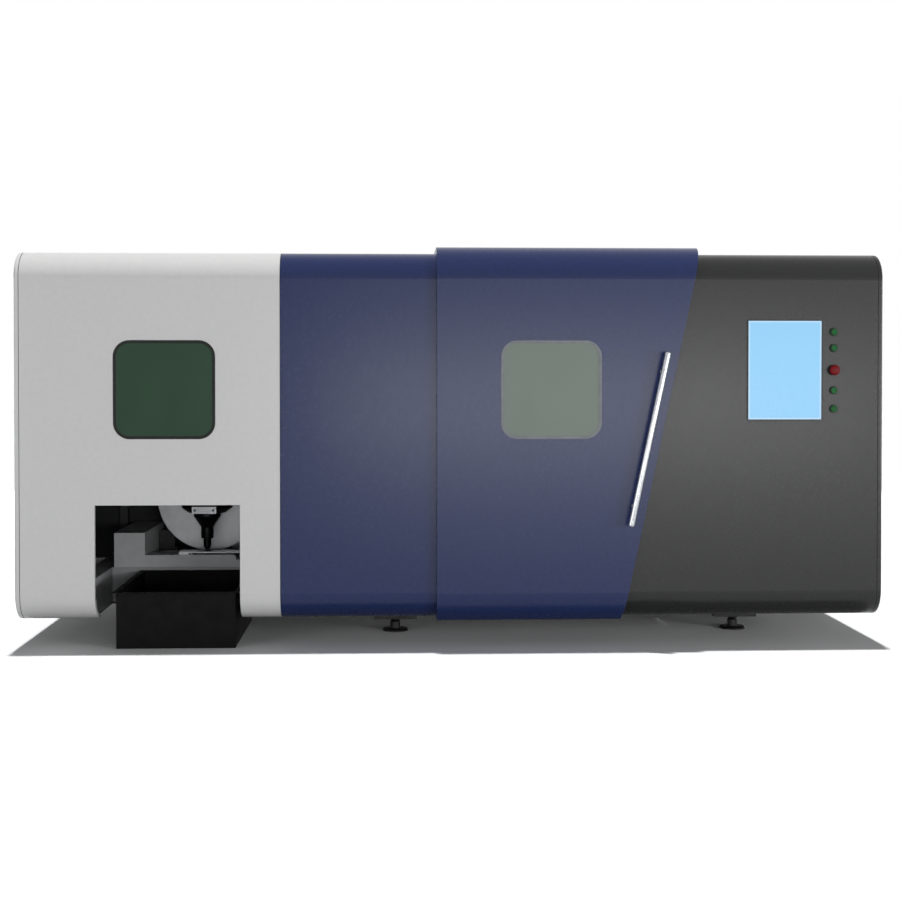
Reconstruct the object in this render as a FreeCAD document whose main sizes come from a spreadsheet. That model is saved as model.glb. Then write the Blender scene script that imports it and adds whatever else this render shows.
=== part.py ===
import FreeCAD, Part
import math
import os
import re

import Sketcher

# Enclosed fiber laser tube cutting machine, in millimetres. +X is to the right seen from the operator's
# side, -Y is towards the operator and +Z is up. The floor is Z = 0, and the origin lies on it under the
# middle of the machine's bounding box.

doc = FreeCAD.newDocument("fiber_laser_cutter")
dims = doc.addObject("Spreadsheet::Sheet", "Dims")
size = {}
nodes = []


# ---------------------------------------------------------------- sheet and building blocks

def sizes(group, **values):
    """Add a group of driving dimensions to the sheet, one row each: name, number, group."""
    for name, number in values.items():
        row = len(size) + 1
        dims.set(f"A{row}", name)
        dims.set(f"B{row}", str(number))
        dims.set(f"C{row}", group)
        dims.setAlias(f"B{row}", name)
        size[name] = number
    doc.recompute()


def bound(text):
    """Expression text with the sheet's name put before each of its aliases."""
    return re.sub(r"[A-Za-z]\w*", lambda word: f"Dims.{word[0]}" if word[0] in size else word[0], str(text))


def place(piece, at, axis=None):
    """Put a piece at a point given by three expressions, with its own Z along the given axis."""
    if axis is not None:
        turn = FreeCAD.Rotation(FreeCAD.Vector(0, 0, 1), FreeCAD.Vector(*axis))
        piece.Placement = FreeCAD.Placement(FreeCAD.Vector(0, 0, 0), turn)
    for letter, text in zip("xyz", at):
        piece.setExpression(f"Placement.Base.{letter}", bound(text))
    return piece


def box(name, low, high):
    """Box between two corners, each of three expressions."""
    block = doc.addObject("Part::Box", name)
    for prop, start, end in zip(("Length", "Width", "Height"), low, high):
        block.setExpression(prop, bound(f"({end}) - ({start})"))
    return place(block, low)


def cylinder(name, radius, length, at, axis=(0, 0, 1)):
    """Cylinder from a point along an axis."""
    rod = doc.addObject("Part::Cylinder", name)
    rod.setExpression("Radius", bound(radius))
    rod.setExpression("Height", bound(length))
    return place(rod, at, axis)


def fuse(name, *pieces):
    """One solid from pieces that meet."""
    whole = doc.addObject("Part::MultiFuse", name)
    whole.Shapes = list(pieces)
    whole.Refine = True
    return whole


def cut(name, base, *tools):
    """A piece with one or more tools taken away."""
    result = doc.addObject("Part::Cut", name)
    result.Base = base
    result.Tool = tools[0] if len(tools) == 1 else fuse(f"{name}_tools", *tools)
    result.Refine = True
    return result


def common(name, first, second):
    """What two pieces share."""
    result = doc.addObject("Part::Common", name)
    result.Base = first
    result.Tool = second
    result.Refine = True
    return result


def rounded(name, base, radiusOf):
    """Round edges of a piece; radiusOf gives each edge's radius, or None to leave it sharp."""
    doc.recompute()
    fillet = doc.addObject("Part::Fillet", name)
    fillet.Base = base
    picks = [(index, radiusOf(edge)) for index, edge in enumerate(base.Shape.Edges, 1)]
    fillet.Edges = [(index, radius, radius) for index, radius in picks if radius]
    return fillet


def along(edge, axis):
    """Whether an edge is a straight line along X, Y or Z (axis 0, 1 or 2)."""
    if not isinstance(edge.Curve, (Part.Line, Part.LineSegment)):
        return False
    return abs(edge.tangentAt(edge.FirstParameter)[axis]) > 0.999


def roundedAlong(name, base, axis, radius):
    """A piece with all its edges along one axis rounded alike."""
    return rounded(name, base, lambda edge: radius if along(edge, axis) else None)


def group(name, *pieces):
    """Several separate solids kept as one piece, such as a set of like fasteners."""
    whole = doc.addObject("Part::Compound", name)
    whole.Links = list(pieces)
    return whole


def node(name, piece):
    """Name a finished sub-part; its label is the name of its file."""
    piece.Label = name
    nodes.append(piece)
    return piece


def outline(body, name, role, points):
    """Closed sketch of straight lines on one of a body's own planes, every corner bound to the sheet."""
    sketch = body.newObject("Sketcher::SketchObject", name)
    plane = [feature for feature in body.Origin.OriginFeatures if feature.Role == role][0]
    sketch.AttachmentSupport = [(plane, "")]
    sketch.MapMode = "FlatFace"
    count = len(points)
    turns = [2 * math.pi * index / count for index in range(count)]
    ring = [FreeCAD.Vector(100 * math.cos(turn), 100 * math.sin(turn), 0) for turn in turns]
    for index in range(count):
        sketch.addGeometry(Part.LineSegment(ring[index], ring[(index + 1) % count]), False)
    for index in range(count):
        sketch.addConstraint(Sketcher.Constraint("Coincident", index, 2, (index + 1) % count, 1))
    for index, corner in enumerate(points):
        for kind, text in zip(("DistanceX", "DistanceY"), corner):
            which = sketch.addConstraint(Sketcher.Constraint(kind, -1, 1, index, 1, 10.0))
            sketch.setExpression(f"Constraints[{which}]", bound(text))
    return sketch


def turned(name, profile, at, axis=(0, 0, 1)):
    """Turned piece: a profile of (radius, height) corners revolved about the piece's own axis."""
    body = doc.addObject("PartDesign::Body", name)
    sketch = outline(body, f"{name}_profile", "XZ_Plane", profile)
    turn = body.newObject("PartDesign::Revolution", f"{name}_turn")
    turn.Profile = sketch
    turn.ReferenceAxis = (sketch, ["V_Axis"])
    turn.Angle = 360
    return place(body, at, axis)


def section(name, profile, left, right):
    """Straight piece of one section: a profile of (Y, Z) corners padded from one X value to another."""
    body = doc.addObject("PartDesign::Body", name)
    sketch = outline(body, f"{name}_profile", "YZ_Plane", profile)
    pad = body.newObject("PartDesign::Pad", f"{name}_pad")
    pad.Profile = sketch
    pad.setExpression("Length", bound(f"({right}) - ({left})"))
    body.setExpression("Placement.Base.x", bound(left))
    return body


# ---------------------------------------------------------------- enclosure section

sizes("enclosure",
      halfLength=2250, frontFace=-800, rearFace=845, coverBottom=145, coverTop=2050,
      foldRadius=140, rearRadius=60, sheet=4, capDepth=24, capEdge=10, seamGap=3,
      flangeEnd=-650, rearLip=1940, blueSeam=-893)

# How far each surface stands outside the covers' outer face: negative is inside it.
sizes("offsets from the covers' outer face",
      coverOutside=0, coverInside=-4, returnInside=-24,
      doorOutside=35, doorInside=31, doorSealGap=3)

# The door's slanted edge is a straight line in the front view: where it meets the floor, and its lean.
sizes("slanted edge", slantFoot=850, slantAngle=11.9, slantOverlap=45)


def wrapBlock(name, offset, left, right):
    """Solid with the enclosure's rounded section, grown by a named offset, between two X values."""
    low = (left, f"frontFace - {offset}", f"coverBottom - {offset}")
    high = (right, f"rearFace + {offset}", f"coverTop + {offset}")
    block = box(f"{name}_block", low, high)
    middle = (size["frontFace"] + size["rearFace"]) / 2
    half = (size["coverBottom"] + size["coverTop"]) / 2

    def radiusOf(edge):
        if not along(edge, 0):
            return None
        point = edge.CenterOfMass
        if point.y < middle:
            return size["foldRadius"] + size[offset]
        return size["rearRadius"] + size[offset] if point.z > half else None

    return rounded(name, block, radiusOf)


def slantBlock(name, shift):
    """Everything to the right of the slanted edge, moved along X by an expression."""
    block = box(name, (f"slantFoot + {shift}", "frontFace - 300", "0"),
                (f"slantFoot + {shift} + 2600", "rearFace + 355", "2600"))
    block.Placement.Rotation = FreeCAD.Rotation(FreeCAD.Vector(0, 1, 0), size["slantAngle"])
    block.setExpression("Placement.Rotation.Angle", bound("slantAngle * 1 deg"))
    return block


def wrapSkin(name, left, right):
    """Folded cover: bottom flange, front, top and a lip at the rear, open below and behind."""
    outer = wrapBlock(f"{name}_outer", "coverOutside", left, right)
    inner = wrapBlock(f"{name}_inner", "coverInside", f"{left} - 20", f"{right} + 20")
    below = box(f"{name}_below", (f"{left} - 10", "flangeEnd", "coverBottom - 10"),
                (f"{right} + 10", "rearFace + 10", "coverBottom + 40"))
    behind = box(f"{name}_behind", (f"{left} - 10", "rearFace - 20", "coverBottom - 10"),
                 (f"{right} + 10", "rearFace + 10", "rearLip"))
    return cut(f"{name}_skin", outer, inner, below, behind)


def roundedTool(name, centreX, centreZ, wide, high, radius, near, far):
    """Upright block with four rounded corners in the front view, between two Y values."""
    low = (f"{centreX} - ({wide}) / 2", near, f"{centreZ} - ({high}) / 2")
    high = (f"{centreX} + ({wide}) / 2", far, f"{centreZ} + ({high}) / 2")
    return roundedAlong(name, box(f"{name}_block", low, high), 1, radius)


# ---------------------------------------------------------------- windows

sizes("windows",
      windowWide=522, windowHigh=509, windowRadius=85, windowZ=1338.5, leftWindowX=-1485.5, doorWindowX=506,
      sealLip=8, sealDepth=3, sealInside=16, pane=6)


def windowHole(name, centreX):
    """Hole in the sheet for a window and its rubber profile."""
    return roundedTool(name, centreX, "windowZ", "windowWide - 2 * sealLip", "windowHigh - 2 * sealLip",
                       size["windowRadius"] - size["sealLip"], "frontFace - 60", "frontFace + 20")


def windowSeal(name, centreX, face):
    """Rubber profile round a window: a lip on the sheet's front and a web through the hole."""
    lip = roundedTool(f"{name}_lip", centreX, "windowZ", "windowWide", "windowHigh",
                      size["windowRadius"], f"{face} - sealDepth", face)
    web = roundedTool(f"{name}_web", centreX, "windowZ",
                      "windowWide - 2 * sealLip", "windowHigh - 2 * sealLip",
                      size["windowRadius"] - size["sealLip"], face, f"{face} + sheet + 6")
    clear = roundedTool(f"{name}_clear", centreX, "windowZ", "windowWide - 2 * sealInside",
                        "windowHigh - 2 * sealInside", size["windowRadius"] - size["sealInside"],
                        f"{face} - 20", f"{face} + 40")
    return cut(name, fuse(f"{name}_ring", lip, web), clear)


def windowPane(name, centreX, face):
    """Laser safety glass held inside its rubber profile."""
    return roundedTool(name, centreX, "windowZ", "windowWide - 2 * sealInside", "windowHigh - 2 * sealInside",
                       size["windowRadius"] - size["sealInside"], f"{face} - 1", f"{face} - 1 + pane")


# ---------------------------------------------------------------- fixed covers

sizes("outfeed opening", outfeedLeft=-1843, outfeedRight=-1100, outfeedTop=744)


def leftShell():
    """Light cover over the cutting zone, with its window and the outfeed opening cut down to the flange."""
    skin = wrapSkin("left_cover", "-halfLength + capDepth + seamGap", "blueSeam - seamGap / 2")
    opening = box("outfeed_cut", ("outfeedLeft", "frontFace - 20", "0"),
                  ("outfeedRight", "flangeEnd + 20", "outfeedTop"))
    covers = cut("left_cover_holed", skin, opening, windowHole("left_window_hole", "leftWindowX"))
    edge = box("outfeed_edge", ("outfeedLeft - sheet", "frontFace - 10", "0"),
               ("outfeedRight + sheet", "flangeEnd", "outfeedTop + sheet"))
    inside = wrapBlock("outfeed_return_inner", "returnInside", "outfeedLeft - 40", "outfeedRight + 40")
    outside = wrapBlock("outfeed_return_outer", "coverOutside", "outfeedLeft - 30", "outfeedRight + 30")
    rim = cut("outfeed_rim", common("outfeed_rim_block", edge, outside), inside, opening)
    return node("left_shell", fuse("left_shell", covers, rim))


sizes("doorway", doorwayLeft=-25, doorwayBottom=240, doorwayRear=-190)


def centreShell():
    """Blue cover round the doorway, in three folded pieces butt-welded at the doorway's left edge."""
    side = wrapSkin("centre_side", "blueSeam + seamGap / 2", "doorwayLeft")
    rest = wrapSkin("centre_rest", "doorwayLeft", "1500")
    beyond = slantBlock("centre_slant", "-slantOverlap - seamGap / 2")
    above = box("centre_above_sill", ("doorwayLeft - 10", "frontFace - 20", "doorwayBottom"),
                ("1600", "rearFace + 20", "coverTop + 20"))
    ahead = box("centre_ahead_of_roof", ("doorwayLeft - 10", "frontFace - 20", "0"),
                ("1600", "doorwayRear", "coverTop + 20"))
    sill = cut("centre_sill", rest, above, beyond)
    roof = cut("centre_roof", rest, ahead, beyond)
    return node("centre_shell", group("centre_shell", side, sill, roof))


sizes("operator panel",
      screenX=1731.7, screenZ=1439.4, screenWide=385, screenHigh=515, screenBezel=6, screenDepth=90,
      buttonX=1989, topButtonZ=1639, secondButtonZ=1555, stopZ=1440, fourthButtonZ=1334, lowButtonZ=1238,
      buttonHole=12, collarRadius=22, capRadius=16, stemRadius=6, stemClear=0.08)


def rightShell():
    """Dark cover beside the door, with holes for the touch screen and the five push buttons."""
    skin = wrapSkin("right_cover", "700", "halfLength - capDepth - seamGap")
    side = slantBlock("right_slant", "-slantOverlap + seamGap / 2")
    whole = common("right_cover_cut", skin, side)
    screen = box("screen_hole", ("screenX - screenWide / 2", "frontFace - 20", "screenZ - screenHigh / 2"),
                 ("screenX + screenWide / 2", "frontFace + 20", "screenZ + screenHigh / 2"))
    tools = [screen]
    for index, height in enumerate(("topButtonZ", "secondButtonZ", "stopZ", "fourthButtonZ", "lowButtonZ")):
        tools.append(cylinder(f"button_hole_{index}", "buttonHole", "40",
                              ("buttonX", "frontFace - 20", height), (0, 1, 0)))
    return node("right_shell", cut("right_shell", whole, *tools))


sizes("tube path", tubeY=310, tubeZ=560, infeedRadius=80, infeedBore=75)


def endPanel(name, side):
    """Shallow end pan that closes one end; its outer edge is rounded. Side is -1 for left, 1 for right."""
    face = f"{side} * halfLength"
    back = f"{side} * (halfLength - capDepth)"
    low, high = (face, back) if side < 0 else (back, face)
    outer = wrapBlock(f"{name}_outer", "coverOutside", low, high)
    faceX = side * size["halfLength"]
    pan = rounded(f"{name}_rounded", outer,
                  lambda edge: size["capEdge"] if abs(edge.CenterOfMass.x - faceX) < 0.01 else None)
    low, high = (f"{face} + sheet", f"{back} + 20") if side < 0 else (f"{back} - 20", f"{face} - sheet")
    inner = wrapBlock(f"{name}_inner", "coverInside", low, high)
    tools = [inner]
    if side > 0:
        tools.append(cylinder("infeed_hole", "infeedRadius", "40",
                              ("halfLength - 20", "tubeY", "tubeZ"), (1, 0, 0)))
    return node(name, cut(name, pan, *tools))


def infeedRing():
    """Guide sleeve behind the hole where raw tubes enter; its flange sits on the pan's inside."""
    profile = [("infeedBore", "0"), ("infeedBore + 35", "0"), ("infeedBore + 35", "-8"),
               ("infeedBore + 10", "-8"), ("infeedBore + 10", "-60"), ("infeedBore + 4", "-60"),
               ("infeedBore", "-52")]
    at = ("halfLength - sheet", "tubeY", "tubeZ")
    return node("infeed_ring", turned("infeed_ring", profile, at, (1, 0, 0)))


# ---------------------------------------------------------------- rear side

sizes("rear side",
      rearSplitA=-893, rearSplitB=1040, rearBottom=160, ventWide=300, ventHigh=12, ventPitch=36, ventCount=9,
      exhaustX=-1650, exhaustZ=1700, exhaustRadius=100, exhaustLength=58, exhaustWall=3,
      cabinetDoorLeft=1345, cabinetDoorRight=1995, cabinetDoorBottom=770, cabinetDoorTop=1860,
      cabinetDoorDeep=20, cabinetDoorWall=3, cabinetDoorLap=12)


def rearPanel(name, left, right, *tools):
    """Flat rear sheet, folded inwards at its sides and bottom; its top tucks under the covers' rear lip."""
    low = (f"{left} + seamGap / 2", "rearFace - 20", "rearBottom")
    high = (f"{right} - seamGap / 2", "rearFace", "rearLip - seamGap")
    plate = box(f"{name}_plate", low, high)
    inside = box(f"{name}_inside", (f"{left} + seamGap / 2 + sheet", "rearFace - 40", "rearBottom + sheet"),
                 (f"{right} - seamGap / 2 - sheet", "rearFace - sheet", "rearLip + 10"))
    return node(name, cut(name, plate, inside, *tools))


def vents(name, centreX, lowest, face):
    """A column of slots punched through the sheet whose outer face is given."""
    slots = []
    for index in range(size["ventCount"]):
        level = f"{lowest} + {index} * ventPitch"
        slots.append(box(f"{name}_{index}",
                         (f"{centreX} - ventWide / 2", f"{face} - 12", f"{level} - ventHigh / 2"),
                         (f"{centreX} + ventWide / 2", f"{face} + 12", f"{level} + ventHigh / 2")))
    return slots


def rearPanels():
    """Left, middle and right rear sheets with their vents, exhaust hole and cabinet doorway."""
    exhaust = cylinder("exhaust_hole", "exhaustRadius - exhaustWall", "60",
                       ("exhaustX", "rearFace - 30", "exhaustZ"), (0, 1, 0))
    rearPanel("rear_panel_left", "-halfLength + capDepth", "rearSplitA", exhaust)
    rearPanel("rear_panel_middle", "rearSplitA", "rearSplitB",
              *vents("middle_vent_a", "-400", "420", "rearFace"),
              *vents("middle_vent_b", "540", "420", "rearFace"))
    doorway = box("cabinet_doorway",
                  ("cabinetDoorLeft + cabinetDoorLap", "rearFace - 60", "cabinetDoorBottom + cabinetDoorLap"),
                  ("cabinetDoorRight - cabinetDoorLap", "rearFace + 20", "cabinetDoorTop - cabinetDoorLap"))
    rearPanel("rear_panel_right", "rearSplitB", "halfLength - capDepth", doorway,
              *vents("right_vent", "1800", "380", "rearFace"))


def exhaustSpigot():
    """Round duct collar for the fume extraction hose."""
    profile = [("exhaustRadius - exhaustWall", "0"), ("exhaustRadius + 30", "0"), ("exhaustRadius + 30", "4"),
               ("exhaustRadius", "4"), ("exhaustRadius", "exhaustLength"),
               ("exhaustRadius - exhaustWall", "exhaustLength")]
    at = ("exhaustX", "rearFace", "exhaustZ")
    return node("exhaust_spigot", turned("exhaust_spigot", profile, at, (0, 1, 0)))


sizes("cabinet hinges and latch",
      pinRadius=5, knuckleRadius=8, knuckleLong=40, pinClear=0.06, pinInset=9, hingeLow=860, hingePitch=455,
      latchX=1955, latchZ=1315, latchRadius=12, latchKnob=20, latchGrip=60, camLong=42, camWide=20)

doorBack = "(rearFace + 1)"
doorOuter = "(rearFace + 1 + cabinetDoorDeep)"
pinAt = ("(cabinetDoorLeft - pinInset)", "(rearFace + 11)")


def cabinetDoor():
    """Sheet pan over the cabinet's doorway on three welded knuckles, with a vent column and a latch hole."""
    plate = box("cabinet_door_plate", ("cabinetDoorLeft", doorBack, "cabinetDoorBottom"),
                ("cabinetDoorRight", doorOuter, "cabinetDoorTop"))
    pan = roundedAlong("cabinet_door_pan", plate, 1, 6)
    inside = box("cabinet_door_inside",
                 ("cabinetDoorLeft + cabinetDoorWall", "rearFace", "cabinetDoorBottom + cabinetDoorWall"),
                 ("cabinetDoorRight - cabinetDoorWall", f"{doorOuter} - cabinetDoorWall",
                  "cabinetDoorTop - cabinetDoorWall"))
    slots = vents("cabinet_door_vent", "(cabinetDoorLeft + cabinetDoorRight) / 2",
                  "cabinetDoorBottom + 120", doorOuter)
    hole = cylinder("latch_hole", "latchRadius + pinClear", "40",
                    ("latchX", "rearFace", "latchZ"), (0, 1, 0))
    pieces = [cut("cabinet_door_sheet", pan, inside, hole, *slots)]
    x, y = pinAt
    for index in range(3):
        level = f"(hingeLow + {index} * hingePitch)"
        barrel = cylinder(f"door_knuckle_{index}", "knuckleRadius", "knuckleLong", (x, y, f"{level} + 0.3"))
        leaf = box(f"door_leaf_{index}", (x, f"{y} - 3", f"{level} + 0.3"),
                   ("cabinetDoorLeft + 1", f"{y} + 3", f"{level} + 0.3 + knuckleLong"))
        bore = cylinder(f"door_knuckle_bore_{index}", "pinRadius + pinClear", "knuckleLong + 4",
                        (x, y, f"{level} - 2"))
        knuckle = fuse(f"door_knuckle_leaf_{index}", barrel, leaf)
        pieces.append(cut(f"door_knuckle_bored_{index}", knuckle, bore))
    return node("cabinet_door", fuse("cabinet_door", *pieces))


def cabinetHinges():
    """Fixed lower knuckles, welded to the rear sheet, each with the pin the door's knuckle turns on."""
    hinges = []
    x, y = pinAt
    for index in range(3):
        level = f"(hingeLow + {index} * hingePitch)"
        barrel = cylinder(f"fixed_knuckle_{index}", "knuckleRadius", "knuckleLong",
                          (x, y, f"{level} - knuckleLong"))
        leaf = box(f"fixed_leaf_{index}", (f"{x} - knuckleRadius", "rearFace", f"{level} - knuckleLong"),
                   (f"{x} + 3", y, level))
        pin = cylinder(f"hinge_pin_{index}", "pinRadius", "2 * knuckleLong - 4",
                       (x, y, f"{level} - knuckleLong"))
        hinges.append(fuse(f"cabinet_hinge_{index}", barrel, leaf, pin))
    return node("cabinet_hinges", group("cabinet_hinges", *hinges))


def cabinetLatch():
    """Quarter-turn latch: a wing grip outside, a barrel through the door and a cam behind the sheet."""
    profile = [("0", "rearFace - 13"), ("latchRadius", "rearFace - 13"),
               ("latchRadius", f"{doorOuter} + 0.3"),
               ("latchKnob", f"{doorOuter} + 0.3"), ("latchKnob", f"{doorOuter} + 4"),
               ("latchKnob - 3", f"{doorOuter} + 7"), ("0", f"{doorOuter} + 7")]
    barrel = turned("latch_barrel", profile, ("latchX", "0", "latchZ"), (0, 1, 0))
    wing = roundedAlong("latch_wing", box("latch_wing_block",
                        ("latchX - 7", f"{doorOuter} + 6", "latchZ - latchGrip / 2"),
                        ("latchX + 7", f"{doorOuter} + 22", "latchZ + latchGrip / 2")), 1, 6)
    cam = box("latch_cam", ("latchX - camWide / 2", "rearFace - 13", "latchZ - camWide / 2"),
              ("latchX + camLong", "rearFace - 7", "latchZ + camWide / 2"))
    return node("cabinet_latch", fuse("cabinet_latch", barrel, wing, cam))


# ---------------------------------------------------------------- base frame and feet

sizes("base frame",
      frameBottom=100, frameTop=310, armBottom=190, beamWide=130, armWide=120, armFront=-746,
      frontBeam=-330, middleBeam=100, rearBeam=670, frameRight=2100, pitLeft=-1925,
      hoopA=-1985, hoopB=-1000, hoopC=-55, hoopD=1300, hoopE=2040, hoopTube=50, tieReach=450)

hoopNames = ("hoopA", "hoopB", "hoopC", "hoopD", "hoopE")
endTies = ("-tieReach", "tieReach + 100")

sizes("feet",
      footFront=-265, footPit=165, footRear=735, footLeft=-1650, footMiddle=-300, footRight=1585,
      padRadius=73, padThick=14, collarTop=58, collarWide=28, bracketLong=234, bracketDeep=150,
      spindleRadius=15, spindleTop=75)

footPlaces = (("footMiddle", "footFront"), ("footRight", "footFront"), ("footLeft", "footPit"),
              ("footLeft", "footRear"), ("footMiddle", "footRear"), ("footRight", "footRear"))


def baseFrame():
    """Welded frame of rectangular tubes: three long beams, cross tubes, and arms out to the front posts."""
    tubes = []

    def tube(name, left, right, near, far, bottom="frameBottom"):
        tubes.append(box(f"frame_{name}", (left, near, bottom), (right, far, "frameTop")))

    tube("front", "hoopB - armWide / 2", "frameRight", "frontBeam", "frontBeam + beamWide")
    tube("middle", "pitLeft", "frameRight", "middleBeam", "middleBeam + beamWide")
    tube("rear", "pitLeft", "frameRight", "rearBeam", "rearBeam + beamWide")
    tube("left", "hoopA - armWide / 2", "hoopA + armWide / 2", "frontBeam", "rearBeam + beamWide")
    for name in hoopNames:
        left = f"{name} - armWide / 2"
        right = f"{name} + armWide / 2"
        tube(f"{name}_arm", left, right, "armFront", "frontBeam", "armBottom")
        tube(f"{name}_heel", left, right, "rearBeam + beamWide", "rearFace - sheet", "armBottom")
        if name != "hoopA":
            tube(f"{name}_cross_a", left, right, "frontBeam + beamWide", "middleBeam")
            tube(f"{name}_cross_b", left, right, "middleBeam + beamWide", "rearBeam")
    for index, (x, y) in enumerate(footPlaces):
        tubes.append(box(f"foot_bracket_{index}",
                         (f"{x} - bracketLong / 2", f"{y} - bracketDeep / 2", "frameBottom - 25"),
                         (f"{x} + bracketLong / 2", f"{y} + bracketDeep / 2", "frameBottom")))
    for index, y in enumerate(endTies):
        far = f"{y} + hoopTube"
        tube(f"left_tie_{index}", "-halfLength + sheet", "hoopA - armWide / 2", y, far, "armBottom")
        tube(f"right_tie_{index}", "hoopE + armWide / 2", "halfLength - sheet", y, far, "armBottom")
    return node("base_frame", group("base_frame", *tubes))


def feet():
    """Levelling feet: a dished pad, a threaded spindle with its collar, and the nut under the bracket."""
    pads = []
    spindles = []
    nuts = []
    pad = [("0", "0"), ("padRadius", "0"), ("padRadius", "6"), ("padRadius - 8", "padThick"),
           ("0", "padThick")]
    spindle = [("0", "padThick"), ("collarWide", "padThick"), ("collarWide", "collarTop"),
               ("spindleRadius", "collarTop"), ("spindleRadius", "spindleTop"), ("0", "spindleTop")]
    for index, (x, y) in enumerate(footPlaces):
        pads.append(turned(f"foot_pad_{index}", pad, (x, y, "0")))
        spindles.append(turned(f"foot_spindle_{index}", spindle, (x, y, "0")))
        nut = doc.addObject("Part::Prism", f"foot_nut_{index}")
        nut.Polygon = 6
        nut.setExpression("Circumradius", bound("collarWide + 2"))
        nut.setExpression("Height", bound("spindleTop - collarTop - 1"))
        place(nut, (x, y, "collarTop + 1"))
        thread = cylinder(f"foot_nut_{index}_bore", "spindleRadius", "60", (x, y, "40"))
        nuts.append(cut(f"foot_nut_{index}_bored", nut, thread))
    node("foot_pads", group("foot_pads", *pads))
    node("foot_spindles", group("foot_spindles", *spindles, *nuts))


# ---------------------------------------------------------------- enclosure frame

def bend(name, x, y, z, radius, low, high):
    """Quarter bend of the square tube about a line along X, kept between two corners."""
    outer = cylinder(f"{name}_outer", radius, "hoopTube", (f"{x} - hoopTube / 2", y, z), (1, 0, 0))
    inner = cylinder(f"{name}_inner", f"{radius} - hoopTube", "hoopTube + 4",
                     (f"{x} - hoopTube / 2 - 2", y, z), (1, 0, 0))
    corner = box(f"{name}_corner", (f"{x} - hoopTube", *low), (f"{x} + hoopTube", *high))
    return common(name, cut(f"{name}_ring", outer, inner), corner)


def enclosureFrame():
    """Five bent square-tube hoops under the covers, two roof rails beside the doorway, and the end ties."""
    tubes = []
    bendY = "(frontFace + foldRadius)"
    bendZ = "(coverTop - foldRadius)"
    backY = "(rearFace - rearRadius)"
    backZ = "(coverTop - rearRadius)"
    roofLow = "coverTop - sheet - hoopTube"
    roofHigh = "coverTop - sheet"
    for name in hoopNames:
        left = f"{name} - hoopTube / 2"
        right = f"{name} + hoopTube / 2"
        tubes.append(box(f"{name}_front_post", (left, "frontFace + sheet", "coverBottom + foldRadius + 5"),
                         (right, "frontFace + sheet + hoopTube", bendZ)))
        tubes.append(bend(f"{name}_front_bend", name, bendY, bendZ, "(foldRadius - sheet)",
                          ("frontFace", bendZ), (bendY, "coverTop")))
        tubes.append(box(f"{name}_roof", (left, bendY, roofLow), (right, backY, roofHigh)))
        tubes.append(bend(f"{name}_rear_bend", name, backY, backZ, "(rearRadius - sheet)",
                          (backY, backZ), ("rearFace", "coverTop")))
        tubes.append(box(f"{name}_rear_post", (left, "rearFace - sheet - hoopTube", "frameTop"),
                         (right, "rearFace - sheet", backZ)))
    for first, second in (("hoopB", "hoopC"), ("hoopC", "hoopD")):
        tubes.append(box(f"{first}_header", (f"{first} + hoopTube / 2", "doorwayRear", roofLow),
                         (f"{second} - hoopTube / 2", "doorwayRear + hoopTube", roofHigh)))
    for index, y in enumerate(endTies):
        tubes.append(box(f"left_roof_tie_{index}", ("-halfLength + sheet", y, roofLow),
                         ("hoopA - hoopTube / 2", f"{y} + hoopTube", roofHigh)))
        tubes.append(box(f"right_roof_tie_{index}", ("hoopE + hoopTube / 2", y, roofLow),
                         ("halfLength - sheet", f"{y} + hoopTube", roofHigh)))
    return node("enclosure_frame", group("enclosure_frame", *tubes))


# ---------------------------------------------------------------- sliding door

sizes("sliding door",
      doorLeft=-85, doorBlank=1500, doorRear=-100, doorLip=135, doorLipEnd=-575,
      railY=-165, railWide=20, railHigh=15, railLeft=-865, railRight=1245,
      blockWide=44, blockLong=80, blockTop=2081, slideClear=0.3,
      guideY=-612, guideThick=12, guideBottom=150, guideLeft=-950,
      handleX=1008, handleZ=1083, handleLong=919, handleRadius=17, handleReach=52, standoffSpan=710,
      standoffFoot=12)


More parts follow.
